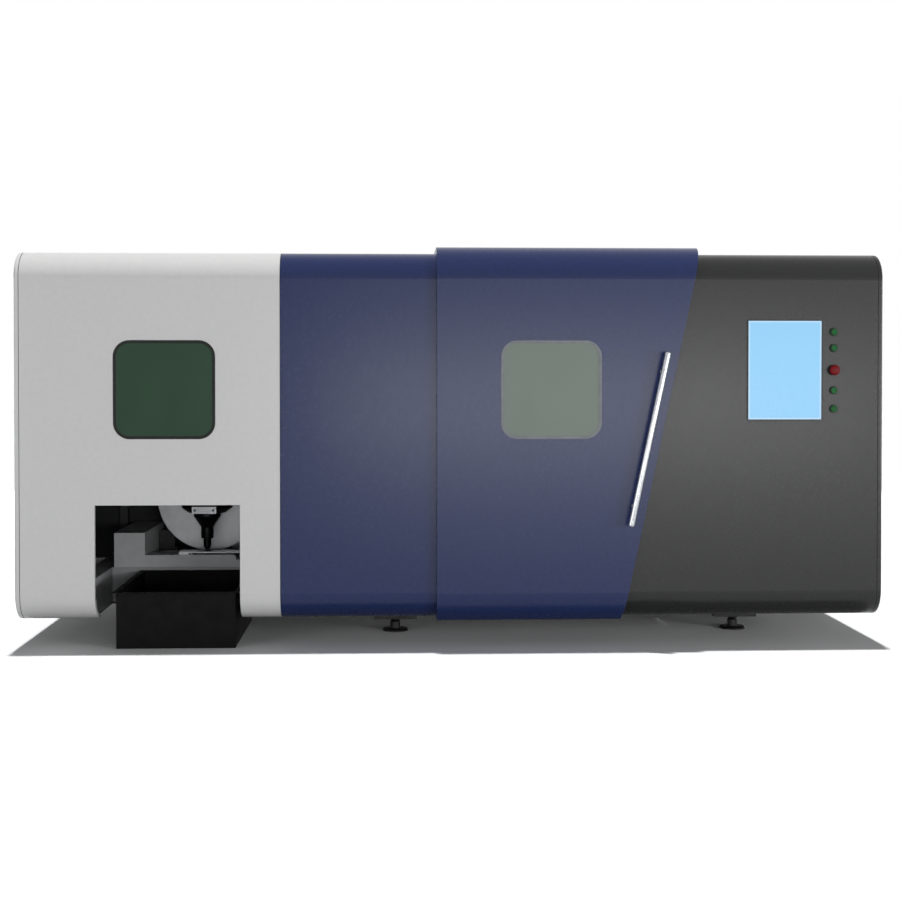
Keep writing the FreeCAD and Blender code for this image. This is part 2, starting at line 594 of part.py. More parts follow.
def doorPanel():
    """Sliding cover that stands proud of the fixed covers all round the fold, with a slanted right edge,
    returned flanges on three sides, notched round the roof rail, and a lip along the bottom."""
    outer = wrapBlock("door_outer", "doorOutside", "doorLeft", "doorBlank")
    inner = wrapBlock("door_inner", "doorInside", "doorLeft - 20", "doorBlank + 20")
    gap = wrapBlock("door_gap", "doorSealGap", "doorLeft - 20", "doorBlank + 20")
    solid = wrapBlock("door_solid", "doorInside", "doorLeft", "doorBlank")
    low = "doorLeft - 30"
    high = "doorBlank + 40"
    past = "rearFace + 80"
    behind = box("door_behind", (low, "doorRear", "0"), (high, past, "coverTop + 80"))
    beneath = box("door_beneath", (low, "frontFace - 80", "0"), (high, past, "doorLip"))
    below = box("door_below", (low, "frontFace + foldRadius + 30", "0"), (high, past, "coverBottom + 200"))
    skin = cut("door_skin", outer, inner, behind, beneath, below)
    ring = cut("door_ring", solid, gap, beneath, below)
    leftSlab = box("door_left_slab", ("doorLeft", "frontFace - 60", "0"),
                   ("doorLeft + sheet", "doorRear", "coverTop + 60"))
    slantSlab = cut("door_slant_slab", slantBlock("door_slant_flange", "-sheet - 0.1"),
                    slantBlock("door_slant_face", "0"), behind)
    rearSlab = box("door_rear_slab", ("doorLeft", "doorRear - sheet", "coverTop"),
                   ("doorBlank", "doorRear", "coverTop + 60"))
    flanges = [common(f"door_flange_{index}", ring if index == 0 else doc.copyObject(ring), slab)
               for index, slab in enumerate((leftSlab, slantSlab, rearSlab))]
    lip = box("door_lip", ("doorLeft", "frontFace + 50", "doorLip"),
              ("doorBlank", "doorLipEnd", "doorLip + sheet"))
    whole = fuse("door_whole", skin, *flanges, lip)
    notch = box("door_rail_notch", ("doorLeft - 10", "railY - railWide / 2 - 6", "coverTop"),
                ("doorBlank", "railY + railWide / 2 + 6", "coverTop + railHigh + 6"))
    tools = (notch, slantBlock("door_edge", "0"), windowHole("door_window_hole", "doorWindowX"))
    return node("door_panel", cut("door_panel", whole, *tools))


def doorRunningGear():
    """Roof rail with its two runner blocks, and the bottom guide bar with its two slotted shoes."""
    half = "railWide / 2"
    near = f"railY - {half}"
    far = f"railY + {half}"
    railProfile = [(near, "coverTop"), (far, "coverTop"), (far, "coverTop + 5"),
                   (f"{far} - 3", "coverTop + 7"), (far, "coverTop + 10"), (far, "coverTop + railHigh"),
                   (near, "coverTop + railHigh"), (near, "coverTop + 10"), (f"{near} + 3", "coverTop + 7"),
                   (near, "coverTop + 5")]
    barProfile = [("guideY", "guideBottom"), ("guideY + guideThick", "guideBottom"),
                  ("guideY + guideThick", "armBottom"), ("guideY", "armBottom")]
    node("door_tracks", group("door_tracks", section("roof_rail", railProfile, "railLeft", "railRight"),
                              section("guide_bar", barProfile, "guideLeft", "railRight")))
    innerNear = f"{near} - slideClear"
    innerFar = f"{far} + slideClear"
    outerNear = "railY - blockWide / 2"
    outerFar = "railY + blockWide / 2"
    lowZ = "coverTop + 3"
    roofZ = "coverTop + railHigh + slideClear"
    blockProfile = [(outerNear, lowZ), (innerNear, lowZ), (innerNear, roofZ), (innerFar, roofZ),
                    (innerFar, lowZ), (outerFar, lowZ), (outerFar, "blockTop"), (outerNear, "blockTop")]
    shoeLow = "doorLip + sheet"
    near = "guideY - slideClear"
    far = "guideY + guideThick + slideClear"
    shoeProfile = [("guideY - 25", shoeLow), ("doorLipEnd", shoeLow), ("doorLipEnd", "guideBottom + 20"),
                   (far, "guideBottom + 20"), (far, "guideBottom - 4"), (near, "guideBottom - 4"),
                   (near, "guideBottom + 20"), ("guideY - 25", "guideBottom + 20")]
    blocks = []
    shoes = []
    for index, start in enumerate(("doorLeft + 25", "railRight - 145")):
        blocks.append(section(f"door_runner_{index}", blockProfile, start, f"{start} + blockLong"))
    for index, start in enumerate(("doorLeft + 40", "slantFoot - 120")):
        shoes.append(section(f"door_shoe_{index}", shoeProfile, start, f"{start} + blockLong"))
    node("door_carriers", group("door_carriers", *blocks, *shoes))


def doorHandle():
    """Straight bar leaning with the slanted edge, on two standoffs whose ends are saddled to it."""
    turn = FreeCAD.Rotation(FreeCAD.Vector(0, 1, 0), size["slantAngle"])
    sine = "sin(slantAngle * 1 deg)"
    cosine = "cos(slantAngle * 1 deg)"
    face = "(frontFace - doorOutside)"

    def bar(name):
        rod = doc.addObject("Part::Cylinder", name)
        rod.setExpression("Radius", bound("handleRadius"))
        rod.setExpression("Height", bound("handleLong"))
        rod.Placement.Rotation = turn
        rod.setExpression("Placement.Rotation.Angle", bound("slantAngle * 1 deg"))
        return place(rod, (f"handleX - handleLong / 2 * {sine}", f"{face} - handleReach",
                           f"handleZ - handleLong / 2 * {cosine}"))

    node("door_handle", bar("handle_bar"))
    posts = []
    profile = [("0", "0"), ("standoffFoot", "0"), ("standoffFoot", "3"), ("standoffFoot / 2", "6"),
               ("standoffFoot / 2", "handleReach"), ("0", "handleReach")]
    for index, side in enumerate((-1, 1)):
        x = f"handleX + {side} * standoffSpan / 2 * {sine}"
        z = f"handleZ + {side} * standoffSpan / 2 * {cosine}"
        post = turned(f"handle_post_{index}", profile, (x, face, z), (0, -1, 0))
        posts.append(cut(f"handle_standoff_{index}", post, bar(f"handle_saddle_{index}")))
    node("handle_standoffs", group("handle_standoffs", *posts))


# ---------------------------------------------------------------- scrap bin

sizes("scrap bin",
      binLeft=-1738, binRight=-1128, binFront=-770, binRear=70, binHigh=293, binWall=3, binFlange=22)


def scrapBin():
    """Open folded box on the floor under the outfeed, with an outward rim."""
    walls = box("bin_walls", ("binLeft", "binFront", "0"), ("binRight", "binRear", "binHigh"))
    rim = box("bin_rim", ("binLeft - binFlange", "binFront - binFlange", "binHigh - binWall"),
              ("binRight + binFlange", "binRear + binFlange", "binHigh"))
    inside = box("bin_inside", ("binLeft + binWall", "binFront + binWall", "binWall"),
                 ("binRight - binWall", "binRear - binWall", "binHigh + 10"))
    return node("scrap_bin", cut("scrap_bin", fuse("bin_folded", walls, rim), inside))


# ---------------------------------------------------------------- operator panel

def touchScreen():
    """Display box behind the cover, its raised bezel, and the glass set into the bezel."""
    half = "screenWide / 2"
    tall = "screenHigh / 2"
    plate = box("screen_plate",
                (f"screenX - {half} - screenBezel", "frontFace - 5", f"screenZ - {tall} - screenBezel"),
                (f"screenX + {half} + screenBezel", "frontFace", f"screenZ + {tall} + screenBezel"))
    face = roundedAlong("screen_face", plate, 1, 8)
    recess = box("screen_recess", (f"screenX - {half}", "frontFace - 10", f"screenZ - {tall}"),
                 (f"screenX + {half}", "frontFace - 2", f"screenZ + {tall}"))
    case = box("screen_case", (f"screenX - {half} + 12", "frontFace - 1", f"screenZ - {tall} + 12"),
               (f"screenX + {half} - 12", "frontFace + screenDepth", f"screenZ + {tall} - 12"))
    node("screen_housing", cut("screen_housing", fuse("screen_body", face, case), recess))
    node("touch_screen", box("touch_screen",
                             (f"screenX - {half} + 0.5", "frontFace - 4.5", f"screenZ - {tall} + 0.5"),
                             (f"screenX + {half} - 0.5", "frontFace - 2", f"screenZ + {tall} - 0.5")))


def pushButtons():
    """Four green push buttons and the red stop, each sliding in a threaded collar."""
    inner = "stemRadius + stemClear"
    collar = [(inner, "-30"), ("buttonHole - 0.3", "-30"), ("buttonHole - 0.3", "0"),
              ("collarRadius", "0"), ("collarRadius", "6"), ("collarRadius - 2", "8"),
              ("capRadius + 0.3", "8"), ("capRadius + 0.3", "1"), (inner, "1")]
    cap = [("0", "-20"), ("stemRadius", "-20"), ("stemRadius", "5"), ("capRadius", "5"),
           ("capRadius", "12.5"), ("capRadius - 1.5", "14"), ("0", "14")]
    stem = [("0", "-20"), ("stemRadius", "-20"), ("stemRadius", "9"), ("10", "9"), ("10", "12"), ("0", "12")]
    mushroom = [("0", "12.1"), ("12", "12.1"), ("12", "15"), ("24", "15"), ("28", "20"), ("28", "26"),
                ("21", "34"), ("0", "36")]
    places = {"start_button": "topButtonZ", "pause_button": "secondButtonZ", "stop": "stopZ",
              "reset_button": "fourthButtonZ", "light_button": "lowButtonZ"}
    collars = []
    outwards = (0, -1, 0)
    for name, height in places.items():
        at = ("buttonX", "frontFace", height)
        collars.append(turned(f"{name}_collar", collar, at, outwards))
        if name == "stop":
            node("stop_stem", turned("stop_stem", stem, at, outwards))
            node("stop_mushroom", turned("stop_mushroom", mushroom, at, outwards))
        else:
            node(name, turned(name, cap, at, outwards))
    node("button_collars", group("button_collars", *collars))


# ---------------------------------------------------------------- machine bed

sizes("machine bed",
      bedFront=100, bedRear=740, bedTop=350, bedLeft=-1217, bedRight=1330,
      pillarLeft=-1915, pillarRight=-1739, pillarRear=797, pillarTop=507, outfeedRear=245,
      outfeedBeamTop=379, outfeedNose=20, ledgeFront=570,
      plateLeft=-1544, plateFoot=-1486, plateRight=-1195, plateRear=200, plateBottom=390, plateTop=396,
      supportLeft=-1733, supportRight=-1638, supportBarRight=-1620, supportFront=580, supportRear=720,
      supportBarTop=372, supportTop=474)


def column(name, profile, bottom, top):
    """Upright piece of one section: a profile of (X, Y) corners padded from one Z value to another."""
    body = doc.addObject("PartDesign::Body", name)
    sketch = outline(body, f"{name}_profile", "XY_Plane", profile)
    pad = body.newObject("PartDesign::Pad", f"{name}_pad")
    pad.Profile = sketch
    pad.setExpression("Length", bound(f"({top}) - ({bottom})"))
    body.setExpression("Placement.Base.z", bound(bottom))
    return body


def machineBed():
    """Welded bed: the long table, the outfeed beam and its tall left block round an open pit over the bin."""
    table = box("bed_table", ("bedLeft", "bedFront", "frameTop"), ("bedRight", "bedRear", "bedTop"))
    pillar = box("bed_pillar", ("pillarLeft", "bedFront", "frameTop"),
                 ("pillarRight", "pillarRear", "pillarTop"))
    ledge = box("bed_ledge", ("pillarRight", "ledgeFront", "frameTop"), ("bedLeft", "bedRear", "bedTop"))
    beam = box("bed_outfeed", ("pillarRight", "bedFront", "frameTop"),
               ("bedLeft", "outfeedRear", "outfeedBeamTop"))

    def radiusOf(edge):
        point = edge.CenterOfMass
        corner = abs(point.x - size["bedLeft"]) < 1 and abs(point.z - size["outfeedBeamTop"]) < 1
        return size["outfeedNose"] if corner and along(edge, 1) else None

    nose = rounded("bed_outfeed_nose", beam, radiusOf)
    return node("machine_bed", fuse("machine_bed", table, pillar, ledge, nose))


def tablePlate():
    """Thin outfeed table on a foot at its left end and a strip along its rear edge."""
    plate = box("table_top", ("plateLeft", "bedFront", "plateBottom"),
                ("plateRight", "plateRear", "plateTop"))
    foot = box("table_foot", ("plateLeft", "bedFront", "outfeedBeamTop"),
               ("plateFoot", "plateRear", "plateBottom"))
    strip = box("table_strip", ("plateFoot", "plateRear - 12", "outfeedBeamTop"),
                ("bedLeft - outfeedNose", "plateRear", "plateBottom"))
    return node("table_plate", fuse("table_plate", plate, foot, strip))


def outfeedSupport():
    """Rounded block on a bar, beside the tall block of the bed."""
    bar = box("support_bar", ("supportLeft", "supportFront", "bedTop"),
              ("supportBarRight", "supportRear", "supportBarTop"))
    block = roundedAlong("support_block", box("support_block_square",
                         ("supportLeft", "supportFront", "supportBarTop"),
                         ("supportRight", "supportRear", "supportTop")), 1, 14)
    return node("outfeed_support", fuse("outfeed_support", bar, block))


# ---------------------------------------------------------------- head axes

sizes("portal",
      portalLeft=-1170, portalRight=-1050, frontLegRear=140, rearLegFront=620,
      crossBottom=1320, crossTop=1500,
      crossRear=800, footLeftEnd=-1300, footTop=398,
      crossRailDeep=22, crossRailHigh=24, crossRailLow=1340, crossRailPitch=140)

sizes("cross saddle",
      saddleFront=480, saddleRear=700, saddleBottom=1310, saddleTop=1510, saddleThick=32, saddleGap=18,
      saddleBlockHigh=56, saddleBlockLong=70, gibWide=28, gibDeep=28)

sizes("ram",
      ramY=590, ramHalf=50, ramTail=62, ramNeck=24, ramDeep=76, ramBottom=790, ramTop=1640, armTop=830,
      housingLeft=-1518, housingRight=-1298, housingFront=505, housingRear=680, housingBottom=570)

sizes("swivel",
      headX=-1408, headY=310, swivelZ=680, discRadius=320, discFront=480, discThick=24.7,
      hubRadius=60, hubEnd=560,
      hubClear=0.08)

ramFace = "(portalLeft - crossRailDeep - saddleGap - saddleThick - slideClear)"


def portal():
    """Welded portal over the front chuck: two legs, a cross beam, and a spread foot at the rear."""
    front = box("portal_front_leg", ("portalLeft", "bedFront", "bedTop"),
                ("portalRight", "frontLegRear", "crossBottom"))
    rear = box("portal_rear_leg", ("portalLeft", "rearLegFront", "bedTop"),
               ("portalRight", "bedRear", "crossBottom"))
    beam = box("portal_cross", ("portalLeft", "bedFront", "crossBottom"),
               ("portalRight", "crossRear", "crossTop"))
    foot = box("portal_foot", ("footLeftEnd", "rearLegFront", "bedTop"), ("portalLeft", "bedRear", "footTop"))
    return node("portal", fuse("portal", front, rear, beam, foot))


def guideRails():
    """Linear rails: two along the bed for the feed carriage and two along the cross beam for the head."""
    rails = []
    for index, y in enumerate(("bedRailNear", "bedRailFar")):
        rails.append(box(f"bed_rail_{index}", ("bedRailLeft", f"{y} - bedRailWide / 2", "bedTop"),
                         ("bedRight - 10", f"{y} + bedRailWide / 2", "bedTop + bedRailHigh")))
    for index in range(2):
        level = f"(crossRailLow + {index} * crossRailPitch)"
        rails.append(box(f"cross_rail_{index}",
                         ("portalLeft - crossRailDeep", "bedFront + 10", f"{level} - crossRailHigh / 2"),
                         ("portalLeft", "crossRear - 10", f"{level} + crossRailHigh / 2")))
    return node("guide_rails", group("guide_rails", *rails))


def crossSaddle():
    """Plate on four rail blocks, with two dovetail gibs for the ram on its left face."""
    plateRightX = "(portalLeft - crossRailDeep - saddleGap)"
    plateLeftX = f"({plateRightX} - saddleThick)"
    pieces = [box("saddle_plate", (plateLeftX, "saddleFront", "saddleBottom"),
                  (plateRightX, "saddleRear", "saddleTop"))]
    for index in range(2):
        level = f"(crossRailLow + {index} * crossRailPitch)"
        slot = box(f"saddle_slot_{index}",
                   ("portalLeft - crossRailDeep - slideClear", "saddleFront - 10",
                    f"{level} - crossRailHigh / 2 - slideClear"),
                   ("portalLeft + 10", "saddleRear + 10", f"{level} + crossRailHigh / 2 + slideClear"))
        ends = []
        for side, near in enumerate(("saddleFront + 10", "saddleRear - 10 - saddleBlockLong")):
            ends.append(box(f"saddle_block_{index}_{side}",
                            (plateRightX, near, f"{level} - saddleBlockHigh / 2"),
                            ("portalLeft - 3", f"{near} + saddleBlockLong", f"{level} + saddleBlockHigh / 2")))
        pieces.append(cut(f"saddle_blocks_{index}", fuse(f"saddle_block_pair_{index}", *ends), slot))
    for index, side in enumerate((-1, 1)):
        gib = [(plateLeftX, f"ramY + {side} * (ramTail + slideClear)"),
               (plateLeftX, f"ramY + {side} * (ramTail + gibWide)"),
               (f"{plateLeftX} - gibDeep", f"ramY + {side} * (ramTail + gibWide)"),
               (f"{plateLeftX} - gibDeep", f"ramY + {side} * (ramHalf + slideClear + 0.1)"),
               (f"{plateLeftX} - ramNeck", f"ramY + {side} * (ramHalf + slideClear + 0.1)")]
        pieces.append(column(f"saddle_gib_{index}", gib, "saddleBottom", "saddleTop"))
    return node("cross_saddle", fuse("cross_saddle", *pieces))


def zRam():
    """Dovetailed ram with the arm and the bored housing that carries the swivel disc."""
    neck = f"{ramFace} - ramNeck"
    nose = f"{ramFace} - ramDeep"
    near = "ramY - ramHalf"
    far = "ramY + ramHalf"
    profile = [(ramFace, "ramY - ramTail"), (ramFace, "ramY + ramTail"), (neck, far), (nose, far),
               (nose, near), (neck, near)]
    ram = column("ram_bar", profile, "ramBottom", "ramTop")
    arm = box("ram_arm", ("housingLeft", "ramY - ramHalf", "ramBottom"),
              (f"{ramFace} - ramNeck - 10", "ramY + ramHalf", "armTop"))
    housing = box("ram_housing", ("housingLeft", "housingFront", "housingBottom"),
                  ("housingRight", "housingRear", "ramBottom"))
    bore = cylinder("ram_bore", "hubRadius + hubClear", "hubEnd + 5 - discFront",
                    ("headX", "discFront", "swivelZ"), (0, 1, 0))
    softened = roundedAlong("ram_housing_soft", housing, 1, 12)
    return node("z_ram", cut("z_ram", fuse("ram_whole", ram, arm, softened), bore))


def swivelDisc():
    """Round plate that tilts the head, turning on a hub in the ram's housing."""
    profile = [("0", "discFront"), ("discRadius - 3", "discFront"), ("discRadius", "discFront + 3"),
               ("discRadius", "discFront + discThick"), ("hubRadius", "discFront + discThick"),
               ("hubRadius", "hubEnd"), ("0", "hubEnd")]
    return node("swivel_disc", turned("swivel_disc", profile, ("headX", "0", "swivelZ"), (0, 1, 0)))


sizes("cutting head",
      headRadius=100, headWide=150, headWideLow=636, headWideHigh=668, headFoot=112, headFootZ=607,
      neckRadius=79, neckZ=589, shoulderZ=690, bodyTop=880, capTop=905, socketRadius=35, socketTop=1000,
      coneRadius=36, coneZ=521, sensorZ=453, tipRadius=22, tipZ=400, orificeRadius=8, orificeZ=386,
      drawerHalf=70, drawerFront=156, drawerRear=300, drawerBottom=610, drawerTop=650,
      bracketHalf=80, bracketFront=385, headBracketBottom=700, headBracketTop=870)


def cuttingHead():
    """Turned head with its flared waist, the lens drawer in it, the nozzle below and the bracket behind."""
    axis = ("headX", "headY", "0")
    profile = [("0", "neckZ"), ("neckRadius", "neckZ"), ("neckRadius", "headFootZ"),
               ("headFoot", "headFootZ"), ("headWide", "headWideLow"), ("headWide", "headWideHigh"),
               ("headRadius", "shoulderZ"), ("headRadius", "bodyTop"), ("headRadius - 30", "capTop"),
               ("socketRadius", "capTop"), ("socketRadius", "socketTop - 15"),
               ("socketRadius - 7", "socketTop"), ("0", "socketTop")]
    body = turned("head_turned", profile, axis)
    pocket = box("drawer_pocket",
                 ("headX - drawerHalf - slideClear", "drawerFront - 30", "drawerBottom - slideClear"),
                 ("headX + drawerHalf + slideClear", "drawerRear + slideClear", "drawerTop + slideClear"))
    node("cutting_head", cut("cutting_head", body, pocket))
    tray = box("drawer_tray", ("headX - drawerHalf", "drawerFront", "drawerBottom"),
               ("headX + drawerHalf", "drawerRear", "drawerTop"))
    grip = box("drawer_grip", ("headX - drawerHalf / 2", "drawerFront - 1", "drawerBottom + 12"),
               ("headX + drawerHalf / 2", "drawerFront + 6", "drawerTop - 12"))
    node("lens_drawer", cut("lens_drawer", tray, grip))
    tip = [("0", "neckZ"), ("neckRadius", "neckZ"), ("coneRadius", "coneZ"), ("coneRadius", "sensorZ"),
           ("tipRadius", "sensorZ"), ("tipRadius", "tipZ"), ("orificeRadius", "orificeZ"), ("0", "orificeZ")]
    node("nozzle", turned("nozzle", tip, axis))
    block = box("bracket_block", ("headX - bracketHalf", "bracketFront", "headBracketBottom"),
                ("headX + bracketHalf", "discFront", "headBracketTop"))
    saddle = cylinder("bracket_saddle", "headRadius", "400", ("headX", "headY", "shoulderZ"))
    node("head_bracket", cut("head_bracket", block, saddle))


# ---------------------------------------------------------------- chucks and feed carriage

sizes("chucks",
      frontChuckX=-1077, feedChuckX=860, boreRadius=75, housingHalf=150, housingStart=72, housingLong=220,
      housingCorner=40, drumRadius=105, drumClear=0.08, plateRadius=140, plateStart=40, plateEnd=68,
      pulleyRadius=125, pulleyStart=300, pulleyEnd=325, neckHalf=12, toeHalf=20, neckDeep=10, toeDeep=10.6,
      jawHalf=30, jawInner=72, jawOuter=136, jawNotch=20, jawFootInner=76)

sizes("feed carriage",
      bedRailNear=160, bedRailFar=460, bedRailLeft=-740, bedRailWide=30, bedRailHigh=28, carriageStart=45,
      carriageLong=395, carriageFront=110, carriageRear=640, carriageBottom=390, carriageTop=410,
      shoeHalf=40, shoeLong=100, shoeBottom=353)


def chuck(prefix, face, foot):
    """Jaw chuck on the tube's axis: a square housing with its motor, and a drum with two opposed V jaws."""
    front = f"({face} + housingStart)"
    back = f"({face} + housingStart + housingLong)"
    block = roundedAlong(f"{prefix}_block", box(f"{prefix}_square",
                         (front, "tubeY - housingHalf", "tubeZ - housingHalf"),
                         (back, "tubeY + housingHalf", "tubeZ + housingHalf")), 0, size["housingCorner"])
    if foot:
        base = box(f"{prefix}_foot", (front, "tubeY - housingHalf + 5", "bedTop"),
                   (back, "tubeY + housingHalf - 5", "tubeZ - housingHalf + 20"))
        block = fuse(f"{prefix}_cast", block, base)
    bore = cylinder(f"{prefix}_bore", "drumRadius + drumClear", "housingLong + 20",
                    (f"{front} - 10", "tubeY", "tubeZ"), (1, 0, 0))
    motor = roundedAlong(f"{prefix}_motor", box(f"{prefix}_motor_block",
                         (f"{front} + 40", "tubeY + housingHalf", "tubeZ - 80"),
                         (f"{front} + 180", "tubeY + housingHalf + 140", "tubeZ + 60")), 1, 14)
    node(f"{prefix}_housing", group(f"{prefix}_housing", cut(f"{prefix}_bored", block, bore), motor))

    drum = turned(f"{prefix}_drum", [("boreRadius", "plateStart"), ("plateRadius", "plateStart"),
                                     ("plateRadius", "plateEnd"), ("drumRadius", "plateEnd"),
                                     ("drumRadius", "pulleyStart"), ("pulleyRadius", "pulleyStart"),
                                     ("pulleyRadius", "pulleyEnd"), ("boreRadius", "pulleyEnd")],
                  (face, "tubeY", "tubeZ"), (1, 0, 0))
    slots = []
    for side in (-1, 1):
        inner, outer = ("-plateRadius - 5", "-20") if side < 0 else ("20", "plateRadius + 5")
        neck = f"{face} + plateStart"
        slots.append(box(f"{prefix}_neck_{side + 1}",
                         (f"{neck} - 5", "tubeY - neckHalf - slideClear", f"tubeZ + {inner}"),
                         (f"{neck} + neckDeep", "tubeY + neckHalf + slideClear", f"tubeZ + {outer}")))
        slots.append(box(f"{prefix}_toe_{side + 1}",
                         (f"{neck} + neckDeep", "tubeY - toeHalf - slideClear", f"tubeZ + {inner}"),
                         (f"{neck} + neckDeep + toeDeep", "tubeY + toeHalf + slideClear", f"tubeZ + {outer}")))
    node(f"{prefix}_rotor", cut(f"{prefix}_rotor", drum, *slots))

    for letter, side in (("a", 1), ("b", -1)):
        def piece(name, start, end, half, inner, outer):
            low, high = (inner, outer) if side > 0 else (f"(-{outer})", f"(-{inner})")
            return box(f"{prefix}_jaw_{letter}_{name}",
                       (f"{face} + {start}", f"tubeY - {half}", f"tubeZ + {low}"),
                       (f"{face} + {end}", f"tubeY + {half}", f"tubeZ + {high}"))

        body = piece("body", "0", "plateStart - slideClear", "jawHalf", "jawInner", "jawOuter")
        neck = piece("neck", "plateStart - slideClear", "plateStart + neckDeep + slideClear", "neckHalf",
                     "jawFootInner", "jawOuter")
        toe = piece("toe", "plateStart + neckDeep + slideClear",
                    "plateStart + neckDeep + toeDeep - slideClear", "toeHalf", "jawFootInner", "jawOuter")
        notch = doc.addObject("Part::Box", f"{prefix}_jaw_{letter}_notch")
        notch.setExpression("Length", bound("plateStart + 20"))
        notch.setExpression("Width", bound("jawNotch * sqrt(2)"))
        notch.setExpression("Height", bound("jawNotch * sqrt(2)"))
        notch.Placement.Rotation = FreeCAD.Rotation(FreeCAD.Vector(1, 0, 0), 45)
        low = "jawInner - jawNotch" if side > 0 else "-jawInner - jawNotch"
        place(notch, (f"{face} - 10", "tubeY", f"tubeZ + {low}"))
        whole = fuse(f"{prefix}_jaw_{letter}_whole", body, neck, toe)
        node(f"{prefix}_jaw_{letter}", cut(f"{prefix}_jaw_{letter}", whole, notch))


def feedCarriage():
    """Carriage plate on four rail shoes."""
    left = "(feedChuckX + carriageStart)"
    right = "(feedChuckX + carriageStart + carriageLong)"
    pieces = [box("carriage_plate", (left, "carriageFront", "carriageBottom"),
                  (right, "carriageRear", "carriageTop"))]
    for row, y in enumerate(("bedRailNear", "bedRailFar")):
        slot = box(f"carriage_slot_{row}",
                   (f"{left} - 10", f"{y} - bedRailWide / 2 - slideClear", "shoeBottom - 10"),
                   (f"{right} + 10", f"{y} + bedRailWide / 2 + slideClear", "bedTop + bedRailHigh + slideClear"))
        shoes = []
        for index, start in enumerate((f"{left} + 20", f"{right} - 20 - shoeLong")):
            shoes.append(box(f"carriage_shoe_{row}_{index}", (start, f"{y} - shoeHalf", "shoeBottom"),
                             (f"{start} + shoeLong", f"{y} + shoeHalf", "carriageBottom")))
        pieces.append(cut(f"carriage_shoes_{row}", fuse(f"carriage_shoe_pair_{row}", *shoes), slot))
    return node("feed_carriage", fuse("feed_carriage", *pieces))


# ---------------------------------------------------------------- cabinet and laser source

sizes("cabinet and laser source",
      cabinetFront=500, cabinetBottom=760, cabinetTop=1868, cabinetSheet=3,
      sourceLeft=1440, sourceRight=2160, sourceFront=450, sourceRear=780, sourceTop=700,
      driveWide=110, drivePitch=140, driveHigh=300, driveDeep=180, driveZ=1400,
      switchWide=70, switchPitch=95, switchHigh=90, switchDeep=80, switchZ=1150, moduleLeft=1410)


def controlCabinet():
    """Sheet cabinet between two hoops, open towards the rear door, and the modules on its back plate."""
    left = "hoopD + hoopTube / 2"
    right = "hoopE - hoopTube / 2"
    shell = box("cabinet_shell", (left, "cabinetFront", "cabinetBottom"),
                (right, "rearFace - sheet", "cabinetTop"))
    hollow = box("cabinet_hollow",
                 (f"{left} + cabinetSheet", "cabinetFront + cabinetSheet", "cabinetBottom + cabinetSheet"),
                 (f"{right} - cabinetSheet", "rearFace + 10", "cabinetTop - cabinetSheet"))
    node("control_cabinet", cut("control_cabinet", shell, hollow))
    back = "(cabinetFront + cabinetSheet)"
    modules = []
    rows = (("drive", 4, "driveWide", "drivePitch", "driveHigh", "driveDeep", "driveZ"),
            ("switch", 6, "switchWide", "switchPitch", "switchHigh", "switchDeep", "switchZ"))
    for name, count, wide, pitch, high, deep, level in rows:
        for index in range(count):
            x = f"moduleLeft + {index} * {pitch}"
            modules.append(box(f"cabinet_{name}_{index}", (x, back, level),
                               (f"{x} + {wide}", f"{back} + {deep}", f"{level} + {high}")))
    node("cabinet_modules", group("cabinet_modules", *modules))


def laserSource():
    """Fiber laser source: a closed housing with a recessed fan grille towards the rear."""
    body = roundedAlong("source_body", box("source_block", ("sourceLeft", "sourceFront", "frameTop"),
                        ("sourceRight", "sourceRear", "sourceTop")), 2, 10)
    grille = box("source_grille", ("sourceLeft + 60", "sourceRear - 12", "frameTop + 60"),
                 ("sourceRight - 60", "sourceRear + 10", "sourceTop - 60"))
    return node("laser_source", cut("laser_source", body, grille))


baseFrame()
feet()
enclosureFrame()
leftShell()
centreShell()
rightShell()
endPanel("left_end_panel", -1)
endPanel("right_end_panel", 1)
infeedRing()
rearPanels()
exhaustSpigot()
cabinetDoor()
cabinetHinges()
cabinetLatch()
node("left_window_seal", windowSeal("left_window_seal", "leftWindowX", "frontFace"))
node("left_window", windowPane("left_window", "leftWindowX", "frontFace"))
doorPanel()
doorRunningGear()
doorHandle()
node("door_window_seal", windowSeal("door_window_seal", "doorWindowX", "frontFace - doorOutside"))
node("door_window", windowPane("door_window", "doorWindowX", "frontFace - doorOutside"))
scrapBin()
touchScreen()
pushButtons()
machineBed()
tablePlate()
outfeedSupport()
portal()
guideRails()
crossSaddle()
zRam()
swivelDisc()
cuttingHead()
chuck("front_chuck", "frontChuckX", True)
chuck("feed_chuck", "feedChuckX", False)
feedCarriage()
controlCabinet()
laserSource()
doc.recompute()

# ---------------------------------------------------------------- write
os.makedirs("parts", exist_ok=True)
for piece in doc.Objects:
    if "Invalid" in piece.State or "Error" in piece.State:
        raise RuntimeError(f"{piece.Name} failed: {piece.State}")
for piece in nodes:
    shape = piece.Shape
    if shape.isNull() or not shape.isValid():
        raise RuntimeError(f"{piece.Label} has no valid shape")
    print(piece.Label, len(shape.Solids), round(shape.Volume / 1e6, 3), shape.BoundBox)
for piece in nodes:
    piece.Shape.exportStep(f"parts/{piece.Label}.step")
